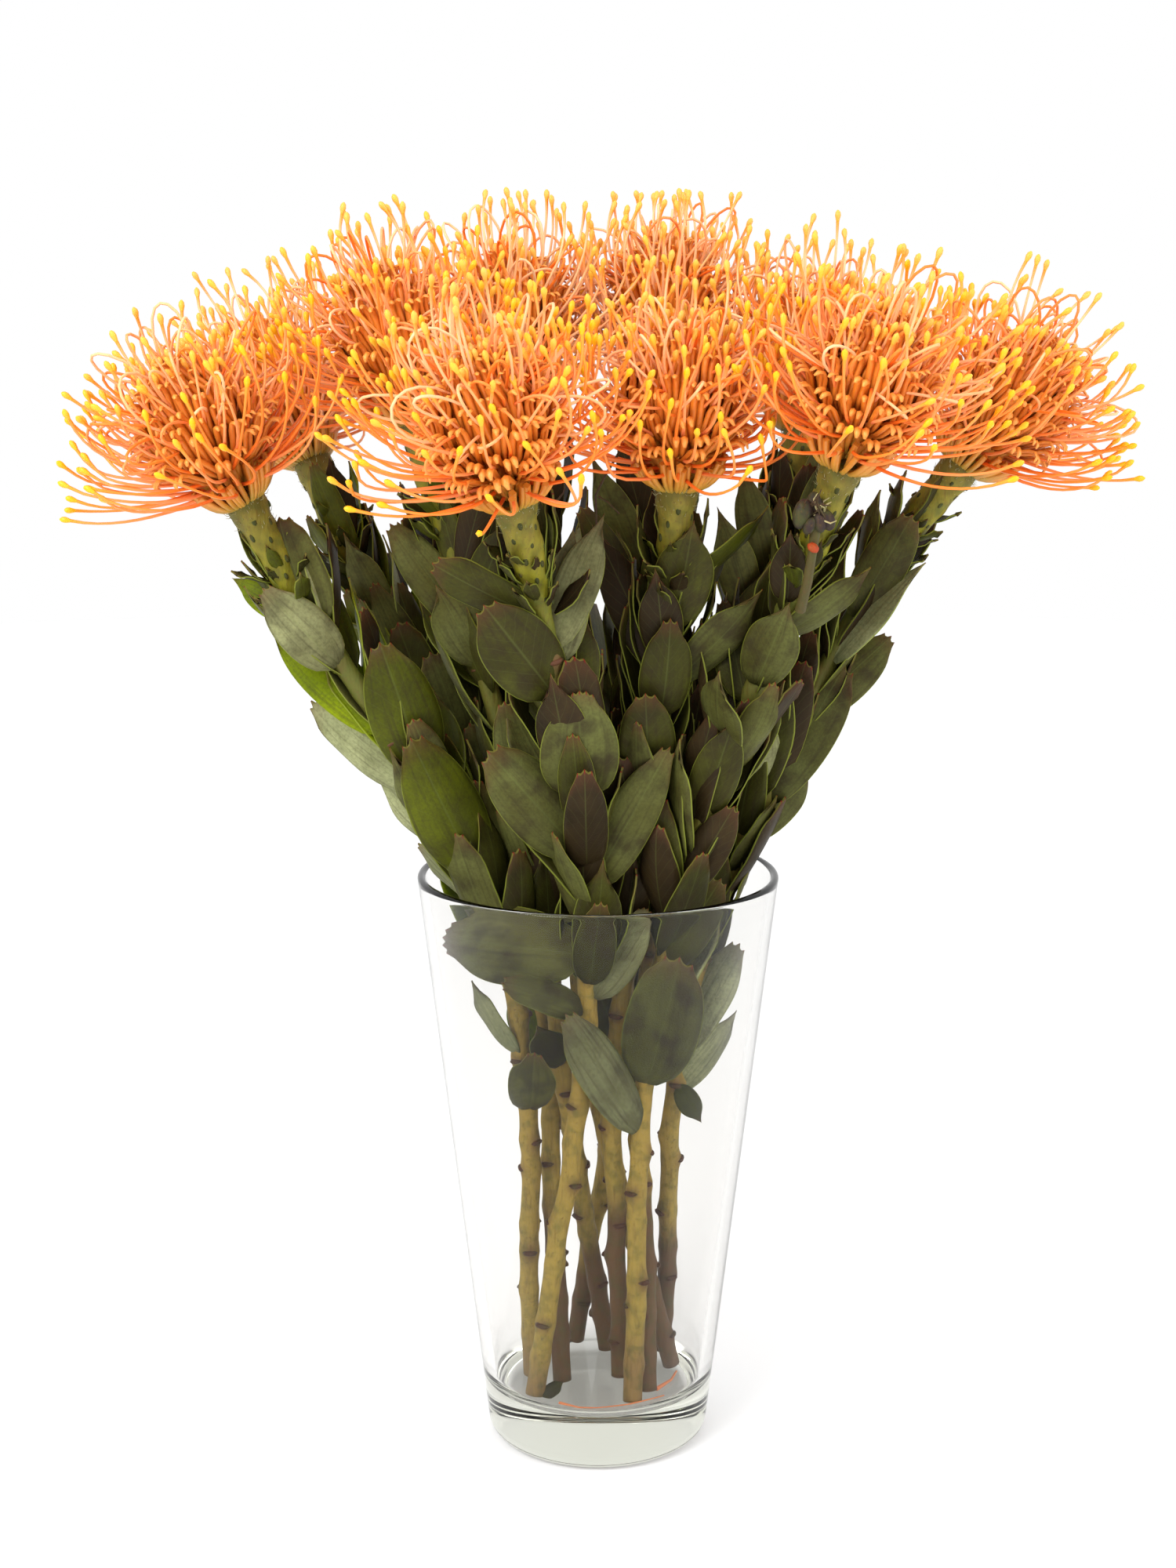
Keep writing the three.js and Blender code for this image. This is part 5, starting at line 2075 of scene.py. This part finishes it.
@dataclass
class Oddments:
    """The dead bud and the dry twigs among the leaves, and what has dropped to the vase's floor.

    A husk is its place above the bud's shoot, half its sizes and its lean.
    """

    kit: Kit
    bark: Colour = colour(66, 50, 34)
    shoot: Colour = colour(74, 66, 32)
    husk: Colour = colour(46, 34, 32)
    ember: Colour = colour(176, 56, 18)
    straw: Colour = colour(176, 166, 118)
    bud_stalk: tuple = ((70.0, -56, 332), (71.6, -64, 343), (72.7, -68, 353), (73.7, -68.5, 362))
    husks: tuple = (
        ((-5.0, -1.2, 4.6), (3.4, 2.6, 5.2), 0.15),
        ((3.6, -0.6, 2.6), (2.7, 2.3, 3.8), -0.25),
        ((-0.6, 1.8, 6.6), (3.0, 2.4, 5.4), 0.0),
        ((1.2, -2.0, 1.6), (2.3, 1.7, 3.4), -0.1),
        ((-2.2, -2.4, 0.6), (2.2, 1.6, 3.0), 0.3),
    )
    husk_sides: int = 9
    threads: int = 14
    twigs: tuple = (
        (
            (8.7, -45, 388.6), (2.2, -46, 378), (-1.1, -45, 371),
            (-0.8, -44, 360), (-1.9, -42, 347), (-3, -36, 330),
        ),
        ((-0.2, -45, 370.5), (3.1, -46, 368.7), (7.2, -46, 364.6)),
        ((-19, -47, 362), (-17.4, -50, 368), (-14.1, -51, 370), (-12.2, -50, 372.4), (-11.7, -50, 375)),
    )
    fallen: tuple = (
        ((-14.4, -28.9, 22.6), (-6.8, -33, 22.0), (-0.5, -32.9, 21.9), (11.6, -28.9, 21.9), (25, -21, 22.0)),
        ((22.6, -14.7, 21.9), (28.9, -7, 22.0), (31.5, -1, 22.6)),
    )

    def line(self, points: Iterable, girth: tuple[float, ...], tone: Colour, finish: Material) -> Thing:
        """Makes one tapered line in one colour.

        Args:
            points: the points that it runs through.
            girth: its radii, evenly spread along it.
            tone: its colour.
            finish: its material.

        Returns:
            The line.
        """
        line = np.array([points], dtype=float)
        steps = np.linspace(0, 1, line.shape[1])
        radii = np.interp(steps, np.linspace(0, 1, len(girth)), girth)
        marks = {"girth": radii, "grow": mix(0.15, 0.42, steps), "tint": 0.5}
        return self.kit.sweep.along("line", line, 7, finish, tone, **marks)

    def make_husk(self, number: int, top: Array) -> Thing:
        """One grooved husk of the dead bud, whose shoot ends at the top."""
        place, size, lean = self.husks[number]
        sides, angle = self.husk_sides, circle(self.husk_sides)
        polar = np.linspace(0.12, math.pi - 0.06, sides)[:, None]
        out = np.sin(polar) * (1 + 0.14 * np.cos(3 * angle + number))
        up = -size[2] * np.cos(polar) * np.ones(sides)
        right, back = size[0] * out * np.cos(angle) + lean * up, size[1] * out * np.sin(angle)
        points = np.stack([right, back, up], axis=-1).reshape(-1, 3) + top + np.array(place)
        marks = {"tone": np.tile(self.husk, (sides**2, 1))}
        husk = make_mesh("husk", points, loft_faces(sides, sides), marks)
        husk.data.materials.append(self.kit.bark)
        return husk

    def make_thread(self, k: int, top: Array) -> Thing:
        """One dry thread of the dead bud, whose shoot ends at the top."""
        chance = [draw(k, seed, 80) for seed in range(7)]
        way = unit(np.array([chance[1] - 0.4, -0.3 - 0.4 * chance[2], chance[3] + 0.1]))
        start = top + np.array([4 * (chance[4] - 0.4), 0, 2 + 3 * chance[5]])
        side = unit(np.cross(way, np.array([0.3, 1, 0.2]))) * 0.35
        length = mix(5, 10, chance[6])
        points = [start + (way * t + side * math.sin(2.6 * t + k)) * length for t in (0, 0.35, 0.7, 1)]
        tone = self.straw if k % 3 == 0 else self.bark
        return self.line(points, (0.45, 0.35, 0.3, 0.15), tone, self.kit.bark)

    def build_bud(self) -> None:
        """The dead bud: a short shoot, dark husks, an orange scab and dry threads."""
        top = np.array(self.bud_stalk[-1])
        scab = top + np.array([-0.6, -2.0, -6.5])
        spine = [scab + np.array([0.3 * i - 1, -0.35 * i, 0.5 * i - 1.2]) for i in range(5)]
        parts = [self.line(self.bud_stalk, (2.0, 1.8, 1.6, 2.0), self.shoot, self.kit.bark)]
        parts += [self.make_husk(number, top) for number in range(len(self.husks))]
        parts.append(self.line(spine, (0.8, 2.0, 2.3, 1.9, 0.7), self.ember, self.kit.bark))
        parts += [self.make_thread(k, top) for k in range(self.threads)]
        settle(joined("stem_08_dead_bud", parts), None)

    def build(self) -> None:
        """Makes all of them."""
        self.build_bud()
        twigs = [self.line(points, (0.5, 0.4, 0.25), self.bark, self.kit.bark) for points in self.twigs]
        settle(joined("dry_twigs", twigs), None)
        styles = [self.line(points, (0.9, 0.5, 0.45), self.bark, self.kit.style) for points in self.fallen]
        settle(joined("fallen_styles", styles), None)
        way, shows, side = np.array([[0.72, 0.42, 0.35], [0.1, -0.75, 0.65], [0.55, -0.5, -0.6]])
        shape = {"bend": 0.3, "twist": 0.2, "cup": 0.4, "teeth": 1, "seed": 0.3}
        scrap = Leaf(np.array([-21.0, -21.0, 21.9]), unit(way), unit(shows), side, 10.0, 6.0, **shape)
        settle(LeafMaker(self.kit).build("leaf_scrap", [scrap]), None)


# The studio


class SoftLight(NamedTuple):
    """A square light with its place and side in millimetres, and its power in watts."""

    name: str
    place: Point
    size: float
    power: float


@dataclass
class Studio:
    """The white floor and surround, the soft lights and the camera."""

    camera_place: Point = (-3.8, -875.0, 434.0)
    camera_pitch: float = 11.3
    focal_pixels: float = 3017.0
    photo_height: float = 2000.0
    sensor: float = 36.0
    floor_radius: float = 2600.0
    floor_sides: int = 96
    floor_drop: float = 0.02
    surround: float = 1.0
    aim: Point = (0, 0, 300)
    lights: tuple[SoftLight, ...] = (
        SoftLight("key_light", (-700, -900, 1100), 700, 16),
        SoftLight("fill_light", (900, -500, 700), 900, 6),
    )

    def add_camera(self) -> None:
        """Sets up the camera at the photograph's view."""
        data = bpy.data.cameras.new("camera")
        data.sensor_width = self.sensor
        data.lens = self.focal_pixels / self.photo_height * self.sensor
        data.clip_end = 50
        camera = bpy.data.objects.new("camera", data)
        camera.location = [v * MM for v in self.camera_place]
        camera.rotation_euler = (math.radians(90 - self.camera_pitch), 0, 0)
        bpy.context.scene.collection.objects.link(camera)
        bpy.context.scene.camera = camera

    def add_floor(self) -> None:
        """Lays the floor, a hair below the glass."""
        sides, reach, angle = self.floor_sides, self.floor_radius, circle(self.floor_sides)
        level = np.full(sides, -self.floor_drop)
        points = np.stack([reach * np.cos(angle), reach * np.sin(angle), level], axis=1)
        floor = make_mesh("floor", points, [tuple(range(sides))])
        floor.data.materials.append(FloorFinish().make())

    def add_light(self, lamp: SoftLight) -> None:
        """Hangs one soft light."""
        data = bpy.data.lights.new(lamp.name, "AREA")
        data.size = lamp.size * MM
        data.energy = lamp.power
        light = bpy.data.objects.new(lamp.name, data)
        spot = np.array(lamp.place, dtype=float)
        out = unit(spot - np.array(self.aim, dtype=float))
        turn = np.stack([*frame_of(out), out, spot * MM], axis=1)
        light.matrix_world = Matrix([*turn.tolist(), [0, 0, 0, 1]])
        bpy.context.scene.collection.objects.link(light)

    def build(self) -> None:
        """Sets everything up."""
        world = bpy.data.worlds.new("white_surround")
        world.use_nodes = True
        background = world.node_tree.nodes["Background"]
        background.inputs["Color"].default_value = (1, 1, 1, 1)
        background.inputs["Strength"].default_value = self.surround
        bpy.context.scene.world = world
        bpy.context.scene.view_settings.view_transform = "Standard"
        self.add_camera()
        self.add_floor()
        for lamp in self.lights:
            self.add_light(lamp)


def main() -> None:
    """Builds the vase, its stems and its heads, and reports each piece."""
    logging.basicConfig(level=logging.INFO, format="%(message)s")
    Studio().build()
    kit = Kit()
    GlassVase(kit).build()
    lines = [StemLine(flower) for flower in FLOWERS]
    heads = [
        Head(i, np.array(flower.head, dtype=float), unit(np.array(flower.faces, dtype=float)))
        for i, flower in enumerate(FLOWERS)
    ]
    scar, bract = pad_shape("scar_shape", 2.4, 1.0, 0.65), pad_shape("bract_shape", 0.85, 1.6, 0.35)
    floret = floret_shape()
    leaves = LeafGrower(lines, heads).grow()
    maker = LeafMaker(kit)
    for i, flower in enumerate(FLOWERS):
        Stalk(kit, lines[i], i, flower.dark_foot).build(scar, bract)
        node = f"stem_{i + 1:02d}"
        settle(maker.build(f"{node}_leaves", leaves[i]), node)
        Bloom(kit, heads[i], heads).build(floret)
    Oddments(kit).build()
    for shape in (scar, bract, floret):
        discard(shape)


if __name__ == "__main__":
    main()
